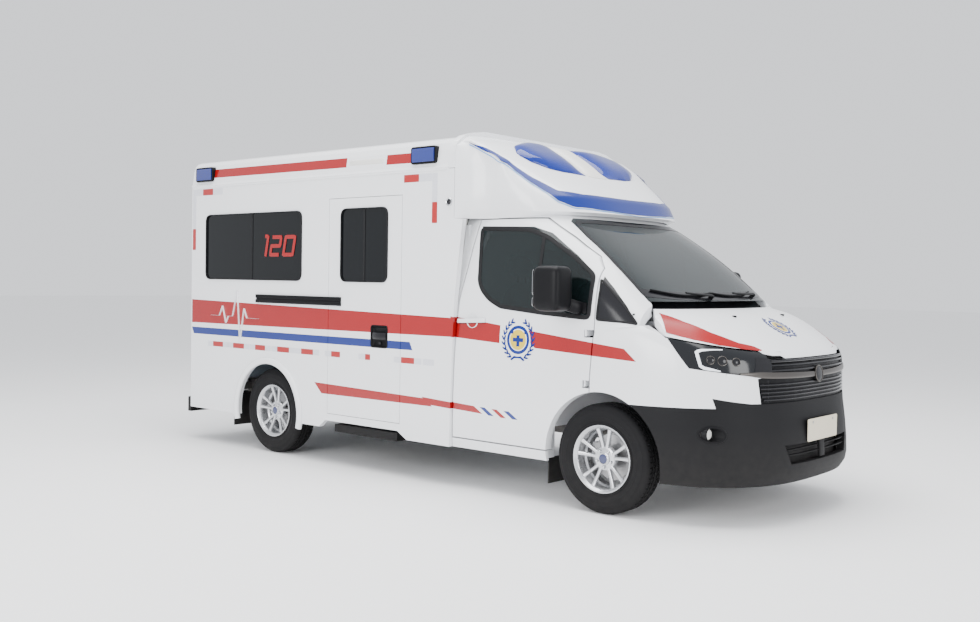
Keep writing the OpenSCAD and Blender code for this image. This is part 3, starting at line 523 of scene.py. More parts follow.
def shell(points, wrap_u=False, wrap_v=False):
    """Corners and four-sided faces of a grid of points; it may close on itself either way."""
    rows, cols = points.shape[:2]
    u = np.arange(rows if wrap_u else rows - 1)[:, None]
    v = np.arange(cols if wrap_v else cols - 1)[None, :]
    u1, v1 = (u + 1) % rows, (v + 1) % cols
    quads = np.stack([u * cols + v, u1 * cols + v, u1 * cols + v1, u * cols + v1], axis=-1)
    return points.reshape(-1, 3), quads.reshape(-1, 4)


def piece(name, shells, look, slot="", body="vehicle", angle=32.0):
    """One object of several shells: doubles merged, closed shells turned outwards, sharp above an angle.

    look is the finish's name. slot is not used."""
    corners, faces, base = [], [], 0
    for points, quads in shells:
        corners.append(points)
        faces.append(quads + base)
        base += len(points)
    mesh = bpy.data.meshes.new(name)
    mesh.from_pydata(np.concatenate(corners).tolist(), [], np.concatenate(faces).tolist())
    sheet = bmesh.new()
    sheet.from_mesh(mesh)
    bmesh.ops.remove_doubles(sheet, verts=sheet.verts, dist=1e-6)
    bmesh.ops.dissolve_degenerate(sheet, dist=1e-7, edges=sheet.edges)
    bmesh.ops.recalc_face_normals(sheet, faces=sheet.faces)
    sheet.to_mesh(mesh)
    sheet.free()
    mesh.shade_smooth()
    mesh.set_sharp_from_angle(angle=math.radians(angle))
    mesh.materials.append(finishes[look])
    made = bpy.data.objects.new(name, mesh)
    bpy.context.scene.collection.objects.link(made)
    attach(made, body)
    slot or look
    return made


def lathe(profile, centre, axis, steps, turn=None):
    """A closed profile of (radius, height) points carried round an axis through a centre.

    turn may add (radius change, height change) at each angle and profile point.
    """
    profile = np.asarray(profile, float)
    angle = np.arange(steps) * 2 * np.pi / steps
    radius, height = (np.broadcast_to(part, (steps, len(profile))).copy() for part in profile.T)
    if turn is not None:
        extra = turn(angle[:, None], profile)
        radius, height = radius + extra[0], height + extra[1]
    axis = np.asarray(axis, float) / np.linalg.norm(axis)
    side = np.cross(axis, (0.0, 0.0, 1.0) if abs(axis[2]) < 0.9 else (1.0, 0.0, 0.0))
    side /= np.linalg.norm(side)
    other = np.cross(axis, side)
    outward = np.cos(angle)[:, None, None] * side + np.sin(angle)[:, None, None] * other
    points = np.asarray(centre, float) + radius[..., None] * outward + height[..., None] * axis
    closes = bool(np.abs(profile[0] - profile[-1]).max() > 1e-9 and profile[0][0] > 1e-9)
    return shell(points, wrap_u=True, wrap_v=closes)


def rod(path, section, flat=None, wrap=False):
    """A closed section carried along a path; ends are closed by fans drawn in to the path.

    Across is the path direction crossed with flat, and the section's (across, up) sizes may vary along it.
    """
    path = np.asarray(path, float)
    section = np.asarray(section, float)
    if section.ndim == 2:
        section = np.broadcast_to(section, (len(path), *section.shape))
    if wrap:
        ahead = np.roll(path, -1, axis=0) - np.roll(path, 1, axis=0)
    else:
        ahead = np.gradient(path, axis=0)
    ahead /= np.linalg.norm(ahead, axis=1, keepdims=True)
    flat = np.broadcast_to(np.asarray((0, 0, 1.0) if flat is None else flat, float), path.shape)
    across = np.cross(ahead, flat)
    across /= np.maximum(np.linalg.norm(across, axis=1, keepdims=True), 1e-9)
    up = np.cross(across, ahead)
    rings = path[:, None] + section[..., :1] * across[:, None] + section[..., 1:] * up[:, None]
    if not wrap:
        rings = np.concatenate([np.broadcast_to(path[:1, None], rings[:1].shape), rings,
                                np.broadcast_to(path[-1:, None], rings[:1].shape)])
    return shell(rings, wrap_u=wrap, wrap_v=True)


def soft(value, power):
    """A sine or cosine squared off: its sign times its size to the power of two over this one."""
    return np.sign(value) * np.abs(value) ** (2 / power)


def oval(width, height, power=4.0, steps=16):
    """A closed superellipse section: |across / half width| ^ power + |up / half height| ^ power = 1."""
    t = np.arange(steps) * 2 * np.pi / steps
    return np.stack([width / 2 * soft(np.cos(t), power), height / 2 * soft(np.sin(t), power)], axis=1)


def joined(x, y, z):
    """Points from three coordinates, each a row of numbers or one number for every point."""
    return np.stack(np.broadcast_arrays(x, y, z), axis=-1).astype(float)


def swelling(section, wide):
    """A section at each step of a path, its width times the number for that step."""
    return section[None] * np.stack([wide, np.ones(len(wide))], axis=1)[:, None]


def tread(angle, profile):
    """Groove depth: two pairs of ring grooves, and sipes across each shoulder block."""
    r, h = profile[:, 0], profile[:, 1]
    on_tread = (r > TYRE_R - 0.003)
    ring = np.max([np.abs(np.abs(h) - c) < 0.0042 for c in (0.016, 0.044)], axis=0)
    block = np.floor(angle * 64 / (2 * np.pi) + np.where(h > 0, 0.5, 0.0) + 1e-6)
    place = angle * 64 / (2 * np.pi) + np.where(h > 0, 0.5, 0.0) - block
    sipe = (place < 0.2) & (np.abs(h) > 0.044)
    ribs = (place < 0.2) & (np.abs(h) > 0.02) & (np.abs(h) < 0.036)
    depth = np.where(on_tread & ring, 0.008, 0.0) + np.where(on_tread & (sipe | ribs) & ~ring, 0.006, 0.0)
    return -depth, np.zeros_like(depth)


across_tread = np.array([0.056, 0.052, 0.0485, 0.048, 0.04, 0.0395,
                         0.036, 0.0355, 0.0205, 0.02, 0.012, 0.0115])
across_tread = np.concatenate([across_tread, [0.0], -across_tread[::-1]])
crown = [(TYRE_R - 0.0001 - 0.4 * max(0, abs(h) - 0.03) ** 2, h) for h in across_tread]
flank = [(0.204, 0.079), (0.212, 0.085), (0.224, 0.091), (0.229, 0.0925), (0.231, 0.089), (0.236, 0.09),
         (0.248, 0.0955), (0.265, 0.0988), (0.266, 0.1), (0.27, 0.1), (0.2712, 0.099), (0.29, 0.099),
         (0.306, 0.0965), (0.3074, 0.095), (0.32, 0.0915), (0.332, 0.086), (0.34, 0.079), (0.3455, 0.069),
         (0.3482, 0.062)]
tyre_profile = flank + crown + [(r, -h) for r, h in flank[::-1]]
rim_profile = [(0.1995, -0.078), (0.1995, 0.06), (0.2022, 0.0775), (0.215, 0.086), (0.216, 0.09),
               (0.2145, 0.0925), (0.2095, 0.093), (0.205, 0.09), (0.202, 0.084), (0.196, 0.08),
               (0.1925, 0.074), (0.1905, 0.06), (0.1905, 0.0), (0.18, -0.01), (0.18, -0.07)]
hub_profile = [(0.0, 0.02), (0.078, 0.02), (0.078, 0.046), (0.074, 0.052), (0.066, 0.055), (0.043, 0.057),
               (0.04, 0.064), (0.036, 0.066), (0.0, 0.066)]
disc_profile = [(0.0, -0.04), (0.078, -0.04), (0.082, -0.052), (0.15, -0.052), (0.15, -0.059),
                (0.146, -0.06), (0.146, -0.064), (0.15, -0.065), (0.15, -0.072), (0.07, -0.072),
                (0.07, -0.058), (0.0, -0.058)]
cap_profile = [(0.0, 0.0655), (0.03, 0.0655), (0.0305, 0.068), (0.0285, 0.07), (0.02, 0.0712), (0.0, 0.0716)]
cap_ring = [(0.03, 0.0658), (0.0345, 0.0658), (0.035, 0.069), (0.0335, 0.0712), (0.0305, 0.0708),
            (0.03, 0.069)]
nut_profile = [(0.0, 0.05), (0.0118, 0.05), (0.0118, 0.065), (0.0098, 0.069), (0.005, 0.0705), (0.0, 0.0708)]
finish("chrome", (0.62, 0.63, 0.65), 0.12, 400.0, 0.06, 0.04, 0.0002, 0.1, 0.6, metal=1.0)
finish("cap_blue", (0.01, 0.02, 0.1), 0.2, 300.0, 0.1, 0.04, 0.0002, 0.1, 0.6, Coat_Weight=0.6)
for end, x in (("front", FRONT_AXLE), ("rear", REAR_AXLE)):
    for hand, side in HANDS:
        corner = "%s_%s" % (end, hand)
        wheel = "wheel_" + corner
        centre, axis = (x, side * WHEEL_Y, AXLE_Z), (0.0, side, 0.0)
        tyre = piece("tyre_" + corner + "_tread", [lathe(tyre_profile, centre, axis, 320, tread)],
                     "tyre_rubber", "tyre_rubber", wheel)
        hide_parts("tyre_" + corner)
        spokes = [lathe(hub_profile, centre, axis, 60), lathe(rim_profile, centre, axis, 120)]
        for k in range(SPOKE_PAIRS):
            turn = 2 * np.pi * (k + 0.25) / SPOKE_PAIRS
            c, s = math.cos(turn), math.sin(turn)
            for lean in (-1.0, 1.0):
                t = np.linspace(0, 1, 9)
                out = 0.05 + 0.146 * t
                off = lean * (0.011 + 0.036 * t ** 1.15)
                rise = 0.04 + 0.022 * t ** 2
                path = np.stack([x + (out * c - off * s), side * (WHEEL_Y + rise),
                                 AXLE_Z + out * s + off * c], axis=1)
                sizes = np.stack([0.02 + 0.009 * t ** 2 + 0.006 * (1 - t) ** 4, 0.03 - 0.004 * t], axis=1)
                section = oval(1.0, 1.0, 3.4, 14)[None] * sizes[:, None]
                spokes.append(rod(path, section, flat=(0, side, 0)))
        rim = piece("rim_" + corner + "_spokes", spokes, "alloy", "alloy", wheel)
        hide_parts("rim_" + corner)
        nuts = [lathe(cap_ring, centre, axis, 40)]
        for k in range(SPOKE_PAIRS):
            turn = 2 * np.pi * (k + 0.75) / SPOKE_PAIRS
            at = (x + NUT_CIRCLE * math.cos(turn), side * WHEEL_Y, AXLE_Z + NUT_CIRCLE * math.sin(turn))
            nuts.append(lathe(nut_profile, at, axis, 6))
        piece("wheel_nuts_" + corner, nuts, "chrome", "alloy", wheel, 20.0)
        piece("wheel_cap_" + corner, [lathe(cap_profile, centre, axis, 40)], "cap_blue", "alloy", wheel)
        piece("brake_disc_" + corner, [lathe(disc_profile, centre, axis, 72)], "disc_steel",
              "disc_steel", wheel)


# --- Box body trim ---
# Two sealed privacy windows in black rubber on the right, matching ones on the left where the CAD has
# them. Each pane is tinted almost black, and the big one and the slider's one have a dividing bar.
def outline(corners, radius, steps=6):
    """A closed polygon with rounded corners: each corner is an arc of two blended straight lines."""
    corners = np.asarray(corners, float)
    before, after = np.roll(corners, 1, axis=0) - corners, np.roll(corners, -1, axis=0) - corners
    radii = np.broadcast_to(np.asarray(radius, float), len(corners))
    t = np.linspace(0, 1, steps)[:, None]
    loop = []
    for corner, b, a, r in zip(corners, before, after, radii):
        lb, la = np.linalg.norm(b), np.linalg.norm(a)
        start, finish_at = corner + b / lb * min(r, lb * 0.48), corner + a / la * min(r, la * 0.48)
        loop.append((1 - t) ** 2 * start + 2 * t * (1 - t) * corner + t ** 2 * finish_at)
    return np.concatenate(loop)


def dense(loop, gap):
    """A closed loop with extra points so that none are further apart than a gap."""
    ends = np.roll(loop, -1, axis=0)
    parts = []
    for a, b in zip(loop, ends):
        count = max(1, int(math.ceil(np.linalg.norm(b - a) / gap)))
        parts.append(a + (b - a) * (np.arange(count) / count)[:, None])
    return np.concatenate(parts)


def plate(loop, rings, place):
    """A plate with a shaped edge: each ring is (inset, height) of a closed outline, and the first and last
    rings shrink to the middle. place turns flat (a, b, height) into points in the vehicle's frame."""
    loop = np.asarray(loop, float)
    middle = (loop.min(0) + loop.max(0)) / 2
    ahead = np.roll(loop, -1, axis=0) - np.roll(loop, 1, axis=0)
    inward = np.stack([-ahead[:, 1], ahead[:, 0]], axis=1)
    inward /= np.maximum(np.linalg.norm(inward, axis=1, keepdims=True), 1e-9)
    area = (loop[:, 0] * np.roll(loop[:, 1], -1) - loop[:, 1] * np.roll(loop[:, 0], -1)).sum()
    inward *= 1.0 if area > 0 else -1.0
    layers = []
    for inset, high in rings:
        flat = loop + inward * inset
        layers.append(np.concatenate([flat, np.full((len(flat), 1), high)], axis=1))
    for end, spread in ((0, (0.0, 0.5)), (-1, (0.5, 0.0))):
        edge = layers[end]
        extra = [np.concatenate([middle + (edge[:, :2] - middle) * k, edge[:, 2:]], axis=1) for k in spread]
        layers = extra + layers if end == 0 else layers + extra
    flat = np.stack(layers)
    return shell(place(flat[..., 0], flat[..., 1], flat[..., 2]), wrap_v=True)


BOX_Y, BACK = 1.03, -2.675


def on_side(side, skin=BOX_Y):
    """Places (along, up, height) on a flat side of the box, height outwards."""
    return lambda a, b, h: np.stack([a, side * (skin + h), b], axis=-1)


def on_end(x, way):
    """Places (across, up, height) on an upright face at x, height towards way."""
    return lambda a, b, h: np.stack([x + way * h, a, b], axis=-1)


def rect(x0, x1, z0, z1, radius, steps):
    """The outline of a rectangle with rounded corners."""
    return outline([(x0, z0), (x1, z0), (x1, z1), (x0, z1)], radius, steps)


def bent_path(line, near):
    """Straight runs with extra points at their middles and at this share from either end."""
    line = np.asarray(line, float)
    steps = np.array([near, 0.5, 1 - near, 1.0])[:, None]
    return np.concatenate([line[:1]] + [a + (b - a) * steps for a, b in zip(line[:-1], line[1:])])


PANES = {"big": (-2.449, -1.149), "slider": (-0.675, -0.162)}
PANE_FOOT, PANE_TOP = 1.435, 1.991
finish("number_red", (0.3, 0.003, 0.004), 0.4, 300.0, 0.1, 0.05, 0.0002, 0.0)
for name, (x0, x1) in PANES.items():
    ring = dense(rect(x0, x1, PANE_FOOT, PANE_TOP, 0.062, 8), 0.08)
    path = joined(ring[:, 0], -BOX_Y - 0.0005, ring[:, 1])
    mid = (x0 + x1) / 2
    bar = joined(mid, -BOX_Y + 0.001, np.linspace(PANE_FOOT + 0.004, PANE_TOP - 0.004, 9))
    piece("seal_" + name, [rod(path, oval(0.007, 0.024, 3.0, 12), flat=(0, 1, 0), wrap=True),
                           rod(bar, oval(0.02, 0.006, 3.0, 10), flat=(0, 1, 0))], "rubber")

DIGITS_FOOT = 1.63
DIGIT_LEAN = 0.22
DIGITS = ((-1.7, [(0.045, 0.165), (0.085, 0.165), (0.085, 0.0)]),
          (-1.555,
           [(0.0, 0.157), (0.112, 0.157), (0.112, 0.085), (0.0, 0.085), (0.0, 0.013), (0.112, 0.013)]),
          (-1.385, [(0.0, 0.013), (0.118, 0.013), (0.118, 0.157), (0.0, 0.157), (0.0, 0.004)]))
strokes = []
for left, line in DIGITS:
    fill = bent_path(line, 0.12)
    path = joined(left + fill[:, 0] + fill[:, 1] * DIGIT_LEAN, -BOX_Y - 0.0012, DIGITS_FOOT + fill[:, 1])
    strokes.append(rod(path, oval(0.0016, 0.03, 8.0, 8)[:, ::-1], flat=(0, 1, 0)))
piece("window_number", strokes, "number_red", "red_lens", angle=50.0)

# Retroreflective tape: pressed prisms in silver and red film, in a row at waist height and at the corners.
prism_group, nodes, links, gin, gout = group(
    "prism_film", [("Pitch", "Float", 160.0)], [("Height", "Float", None)])
cells = nodes.new("ShaderNodeTexVoronoi")
cells.feature = "DISTANCE_TO_EDGE"
links.new(nodes.new("ShaderNodeTexCoord").outputs["Object"], cells.inputs["Vector"])
links.new(gin.outputs[0], cells.inputs["Scale"])
links.new(cells.outputs["Distance"], gout.inputs[0])
for film, tone in (("tape_red", (0.36, 0.006, 0.006)), ("tape_silver", (0.66, 0.67, 0.72))):
    made = finish(film, tone, 0.3, 300.0, 0.06, 0.35, 0.0006, 0.1, 0.5, Coat_Weight=0.4)
    prisms = made.node_tree.nodes.new("ShaderNodeGroup")
    prisms.node_tree = prism_group
    relief = next(n for n in made.node_tree.nodes if n.type == "BUMP")
    made.node_tree.links.new(prisms.outputs[0], relief.inputs["Height"])
reds = [(-0.777, -0.63), (-0.486, -0.331), (-0.179, -0.044), (0.115, 0.27), (0.421, 0.569), (0.785, 0.89),
        (1.173, 1.229), (1.558, 1.693)]
WAIST = (0.848, 0.892)
patches = {"tape_red": [(a, b, *WAIST) for a, b in reds]
           + [(-0.946, -0.796, 2.167, 2.222), (-1.096, -1.048, 1.689, 1.875), (1.564, 1.717, 2.16, 2.216),
              (1.849, 1.901, 1.861, 2.011)],
           "tape_silver": [(a - 0.074, a - 0.002, *WAIST) for a, b in reds]
           + [(b + 0.002, b + 0.074, *WAIST) for a, b in reds if b not in (0.89, 1.229)]
           + [(1.78, 1.892, *WAIST), (-1.046, -0.948, 2.167, 2.222), (-0.794, -0.655, 2.167, 2.222),
              (-1.096, -1.048, 1.877, 2.222), (1.719, 1.847, 2.16, 2.216), (1.849, 1.901, 2.013, 2.216)]}
for film, rects in patches.items():
    for hand, side in HANDS:
        shells = [plate(rect(REAR_AXLE + a, REAR_AXLE + b, c, d, 0.004, 3),
                        ((0.0006, -0.0002), (0.0, 0.0003), (0.0003, 0.0006)), on_side(side))
                  for a, b, c, d in rects]
        piece("%s_%s" % (film, hand), shells, film, "red_lens" if "red" in film else "white_grp")

# Heartbeat line cut from white film, over the stripes, behind the side door.
beat = np.array([(-2.36, 1.12), (-2.24, 1.12), (-2.195, 1.205), (-2.145, 1.06), (-2.11, 1.12), (-2.05, 1.12),
                 (-1.985, 1.345), (-1.945, 0.905), (-1.89, 1.19), (-1.85, 1.11), (-1.69, 1.11)])
finish("film_white", (0.85, 0.86, 0.88), 0.3, 400.0, 0.03, 0.05, 0.0002, 0.1, 0.5)
for film, wide, lift, line in (("film_white", 0.03, 0.001, beat), ("number_red", 0.012, 0.0016, beat[5:8])):
    fill = bent_path(line, 0.06)
    shells = [rod(joined(fill[:, 0], side * (BOX_Y + lift), fill[:, 1]), oval(0.0012, wide, 8.0, 8),
                  flat=(0, 1, 0)) for side in (-1.0, 1.0)]
    piece("heartbeat_" + film, shells, film, "white_paint", angle=50.0)

# Side door: black pressed handle in a shallow bowl, a grooved guide rail and a rubber edge to the step.
bowl = rect(-0.33, -0.155, 0.95, 1.109, 0.02, 6)
bowl_rings = ((0.0, -0.018), (-0.006, 0.0006), (-0.003, 0.003), (0.004, 0.0032), (0.012, -0.014),
              (0.02, -0.0175))
piece("slider_handle_bowl", [plate(dense(bowl, 0.03), bowl_rings, on_side(-1.0))], "black_plastic")
grip = joined(np.linspace(-0.312, -0.172, 15), -BOX_Y + 0.004 - 0.012 * np.sin(np.linspace(0, np.pi, 15)),
              1.034)
key = lathe([(0, 0), (0.013, 0), (0.013, 0.004), (0.01, 0.0065), (0, 0.007)],
            (-0.243, -BOX_Y + 0.012, 0.982), (0, -1, 0), 28)
piece("slider_handle_grip", [rod(grip, oval(0.052, 0.012, 3.0, 18), flat=(0, 1, 0)), key], "gloss_black",
      "black_plastic")
rail_x = np.linspace(-1.724, -0.67, 5)
half_rail = np.array([(0.0, -0.034), (0.0155, -0.034), (0.0165, -0.031), (0.0165, -0.01), (0.0085, -0.008)])
rail_section = np.concatenate([half_rail, half_rail[::-1] * (1, -1)])
rail_path = joined(rail_x, -BOX_Y - 0.0004, 1.28)
rail = piece("slider_rail", [rod(rail_path, rail_section, flat=(0, 0, 1))], "black_plastic", "black_plastic",
             angle=20.0)
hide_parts("door_rail")

# Moulded drip edge under the roof, and the raised lip of the rear wheel arch, both bonded to the side.
ARCH_R = 0.418
drips, arches = [], []
for side in (-1.0, 1.0):
    run = joined(np.linspace(-2.668, 0.42, 9), side * (BOX_Y + 0.0015), 2.238)
    drips.append(rod(run, oval(0.008, 0.014, 2.6, 12), flat=(0, 0, 1)))
    turn = np.radians(np.linspace(-14, 194, 49))
    arch = joined(REAR_AXLE + ARCH_R * np.cos(turn), side * (BOX_Y + 0.006), AXLE_Z + ARCH_R * np.sin(turn))
    out = np.stack([np.cos(turn), np.zeros(49), np.sin(turn)], axis=1)
    arches.append(rod(arch, oval(0.04, 0.056, 2.6, 16), flat=out))
piece("roof_drip_edge", drips, "white_grp")
piece("rear_arch_lips", arches, "white_grp")
awning = outline([(-0.605, 2.316), (-0.225, 2.312), (-0.225, 2.356), (-0.605, 2.36)], 0.012, 5)
finish("lamp_cream", (0.74, 0.73, 0.7), 0.25, 160.0, 0.08, 0.2, 0.0006, 0.05, 0.6,
       Emission_Color=(1, 0.97, 0.9, 1), Emission_Strength=0.06)
piece("awning_lamp",
      [plate(dense(awning, 0.05), ((0.0, -0.03), (0.0, 0.002), (0.003, 0.007), (0.008, 0.009)),
             on_side(side, 1.012)) for side in (-1.0, 1.0)], "lamp_cream", "lamp_lens")


# --- Corner strobes ---
# Dark blue ribbed lenses in black bezels, one at each corner of the roof sides and two over the rear doors.
# Each lens is plastic with fine upright ribs, crowned towards its middle and set inside the bezel's rim.
def eased_box(low, high, power=7.0, steps=(22, 13)):
    """A closed rounded block: a superellipsoid between two corners."""
    low, high = np.asarray(low, float), np.asarray(high, float)
    u = np.arange(steps[0]) * 2 * np.pi / steps[0] + np.pi / steps[0]
    v = np.linspace(-np.pi / 2, np.pi / 2, steps[1])
    level = soft(np.cos(v), power)[:, None]
    flat = joined(level * soft(np.cos(u), power)[None], level * soft(np.sin(u), power)[None],
                  soft(np.sin(v), power)[:, None])
    return shell((low + high) / 2 + flat * (high - low) / 2, wrap_v=True)


STROBE_Y = 1.049
bezels, lenses = [], []
for (x0, x1), side in product(((-2.605, -2.355), (0.075, 0.325)), (-1.0, 1.0)):
    loop = dense(rect(x0, x1, 2.285, 2.41, 0.022, 6), 0.03)
    bezels.append(plate(loop, ((0.0, -0.052), (0.0, -0.01), (0.003, -0.006), (0.01, -0.005), (0.012, -0.012),
                               (0.02, -0.014)), on_side(side, STROBE_Y)))
    ribs = np.linspace(x0 + 0.016, x1 - 0.016, 61)
    rise = np.linspace(2.299, 2.396, 13)
    dome = 0.0035 * (1 - ((rise - 2.3475) / 0.0485) ** 6)
    wave = 0.001 * np.abs(np.sin((ribs - x0) * np.pi / 0.016))
    skin = np.stack([np.broadcast_to(ribs[:, None], (61, 13)), side * (1.044 + dome[None] + wave[:, None]),
                     np.broadcast_to(rise[None], (61, 13))], axis=-1)
    back = skin.copy()
    back[..., 1] = side * 1.03
    lenses.append(shell(np.concatenate([skin, back[:, ::-1]], axis=1), wrap_v=True))
    for end in (0, -1):
        lenses.append(shell(np.stack([skin[end], back[end]], axis=0)))
for y0 in (-0.825, 0.575):
    y1, x = y0 + 0.25, BACK - 0.0003
    loop = dense(rect(y0, y1, 2.2, 2.32, 0.02, 6), 0.03)
    bezels.append(plate(loop, ((0.0, 0.0), (0.0, 0.018), (0.003, 0.022), (0.01, 0.023), (0.012, 0.018),
                               (0.02, 0.017)), on_end(x, -1.0)))
    loop = dense(rect(y0 + 0.013, y1 - 0.013, 2.213, 2.307, 0.014, 5), 0.03)
    lenses.append(plate(loop, ((0.0, 0.012), (0.0, 0.021), (0.004, 0.025), (0.012, 0.0265)),
                        on_end(x, -1.0)))
finish("blue_dark", (0.008, 0.022, 0.19), 0.15, 120.0, 0.2, 0.1, 0.0006, 0.05, 0.6, Coat_Weight=0.8)
piece("strobe_bezels", bezels, "black_plastic")
strobe_lenses = piece("strobe_lenses", lenses, "blue_dark", "blue_lens")
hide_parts("strobe_lights")


# --- Front end ---
# Dark headlamps with a pale bent light guide, a ribbed black grille under a satin bar with a round blank
# badge, and a grained bumper with recessed fog lamps, a slatted lower intake and a blank plate.
NOSE = ("nose", "cabin")
curved_panel("headlights", "nose")


def leaf(top, under):
    """A thin closed sheet between two grids of the same size: their edges are joined all round."""
    rings = np.concatenate([top, under[:, ::-1]], axis=1)
    middle = (top + under) / 2
    ends = [np.concatenate([middle[k], middle[k][::-1]])[None] for k in (0, -1)]
    return shell(np.concatenate([ends[0], rings, ends[1]]), wrap_v=True)


def film_on(parts, grid, lift=0.0009, depth=0.0007):
    """A leaf of film pressed on to a skin: the grid slides on to it and is lifted."""
    top = shape.onto(parts, grid, lift)
    return leaf(top, shape.onto(parts, grid, lift - depth))


def along_line(corners, count):
    """Points at even steps along straight lines between corners."""
    corners = np.asarray(corners, float)
    run = np.concatenate([[0], np.cumsum(np.linalg.norm(np.diff(corners, axis=0), axis=1))])
    return np.stack([np.interp(np.linspace(0, run[-1], count), run, part) for part in corners.T], axis=1)


def along_x(parts, points, lift=0.0):
    """Slides points forward or back to the skin, keeping their y and z: x falls by value over slope."""
    points = np.array(points, float)
    for _ in range(16):
        lean = shape.slope(parts, points)[..., 0]
        step = shape.value(parts, points) / np.where(np.abs(lean) < 0.4, 0.4, lean)
        points[..., 0] -= np.clip(step, -0.04, 0.04)
    return points + (lift, 0.0, 0.0)


def between(edge, foot):
    """A grid from one line of points to another in nine even steps."""
    mix = np.linspace(0, 1, 9)[None, :, None]
    return edge[:, None] * (1 - mix) + foot[:, None] * mix


def laid(parts, path, section, wrap=False):
    """A section carried along a path on the skin, its up side facing outwards."""
    return rod(path, section, flat=gloss.outward(parts, path), wrap=wrap)


def both_hands(points):
    """The points on the right as given and their reflections on the left."""
    points = np.asarray(points, float)
    return [points, points * (1, -1, 1)]


finish("light_guide", (0.8, 0.83, 0.88), 0.25, 300.0, 0.04, 0.05, 0.0002, 0.0,
       Emission_Color=(0.9, 0.95, 1.0, 1.0), Emission_Strength=0.35)
finish("satin_bar", (0.1, 0.092, 0.086), 0.32, 700.0, 0.1, 0.05, 0.0002, 0.08, 0.6, metal=0.9)
GUIDE = ((2.452, -0.775, 1.066), (2.365, -0.868, 1.068), (2.34, -0.885, 1.055), (2.375, -0.893, 0.975),
         (2.395, -0.882, 0.962), (2.47, -0.822, 0.945))
PROJECTORS = (((2.42, -0.855, 1.01), 0.026), ((2.47, -0.805, 1.005), 0.03), ((2.525, -0.742, 0.998), 0.026))
guides, rings, domes = [], [], []
for hand in (0, 1):
    path = shape.onto(NOSE, along_line(both_hands(GUIDE)[hand], 40), 0.0015)
    wide = np.interp(np.linspace(0, 1, 40), [0, 0.2, 0.4, 0.8, 1], [0.006, 0.01, 0.02, 0.018, 0.006])
    guides.append(laid(NOSE, path, swelling(oval(1.0, 0.003, 3.0, 10), wide)))
    for at, size in PROJECTORS:
        at = shape.onto(NOSE, both_hands([at])[hand], -0.004)[0]
        face = gloss.outward(NOSE, at[None])[0]
        rings.append(lathe([(size * 0.86, 0.0), (size, 0.0), (size * 1.02, 0.005), (size * 0.96, 0.0075),
                            (size * 0.88, 0.006)], at, face, 40))
        domes.append(lathe([(0, 0), (size * 0.85, 0.0), (size * 0.83, 0.004), (size * 0.55, 0.0075),
                            (0, 0.009)], at, face, 40))
shoulder = both_hands([(2.6, -0.65, 0.938), (2.664, -0.532, 0.936), (2.66, -0.532, 1.034),
                       (2.606, -0.636, 1.034)])
shoulders = []
for corners in shoulder:
    grid = np.array([[corners[0], corners[1]], [corners[3], corners[2]]])
    s, r = np.linspace(0, 1, 9)[:, None, None], np.linspace(0, 1, 13)[None, :, None]
    grid = (1 - s) * ((1 - r) * grid[0, 0] + r * grid[0, 1]) + s * ((1 - r) * grid[1, 0] + r * grid[1, 1])
    shoulders.append(film_on(NOSE, grid, 0.0012))
piece("grille_shoulders", shoulders, "gloss_black")
piece("headlamp_guides", guides, "light_guide", "lamp_lens")
piece("headlamp_rings", rings, "satin_bar", "alloy")
piece("headlamp_domes", domes, "gloss_black", "lamp_lens")

across = np.linspace(-1, 1, 61)
ribs = []
GRILLE_RIBS = ((0.768, 0.585, 0.016, 0.014), (0.791, 0.6, 0.014, 0.014), (0.814, 0.606, 0.012, 0.014),
               (0.837, 0.61, 0.012, 0.014), (0.86, 0.616, 0.012, 0.014), (0.944, 0.53, 0.01, 0.016),
               (0.975, 0.528, 0.01, 0.016), (1.0, 0.525, 0.006, 0.018))
for z, half, deep, high in GRILLE_RIBS:
    path = along_x(NOSE, joined(2.68, across * half, z), -deep)
    ribs.append(laid(NOSE, path, oval(high, 0.02, 2.6, 12)))
for y in np.linspace(-0.54, 0.54, 13):
    path = along_x(NOSE, joined(2.7, y, np.linspace(0.752, 0.888, 9)), -0.022)
    ribs.append(laid(NOSE, path, oval(0.01, 0.014, 2.6, 10)))
piece("grille_ribs", ribs, "gloss_black")
bar_z = np.interp(np.abs(across), [0, 0.3, 0.75, 1.0], [0.905, 0.908, 0.916, 0.926])
guess = joined(2.7 - 0.18 * across ** 4, across * 0.712, bar_z)
path = shape.onto(NOSE, guess, -0.001)
tall = np.interp(np.abs(across), [0, 0.6, 0.85, 1.0], [0.034, 0.04, 0.04, 0.01])
bar = laid(NOSE, path, swelling(oval(1.0, 0.016, 3.0, 14), tall))
piece("grille_bar", [bar], "satin_bar", "alloy")
badge_at = shape.onto(NOSE, np.array([[2.72, 0.0, 0.905]]), 0.0)[0]
badge_axis = (1.0, 0.0, 0.12)
piece("badge_ring", [lathe([(0.047, 0.0), (0.054, 0.0), (0.0555, 0.008), (0.0525, 0.0125), (0.048, 0.01)],
                           badge_at, badge_axis, 56)], "satin_bar", "alloy")
piece("badge_disc", [lathe([(0, 0), (0.048, 0), (0.048, 0.0085), (0.04, 0.0105), (0.024, 0.012),
                            (0, 0.0125)], badge_at, badge_axis, 56)], "gloss_black")

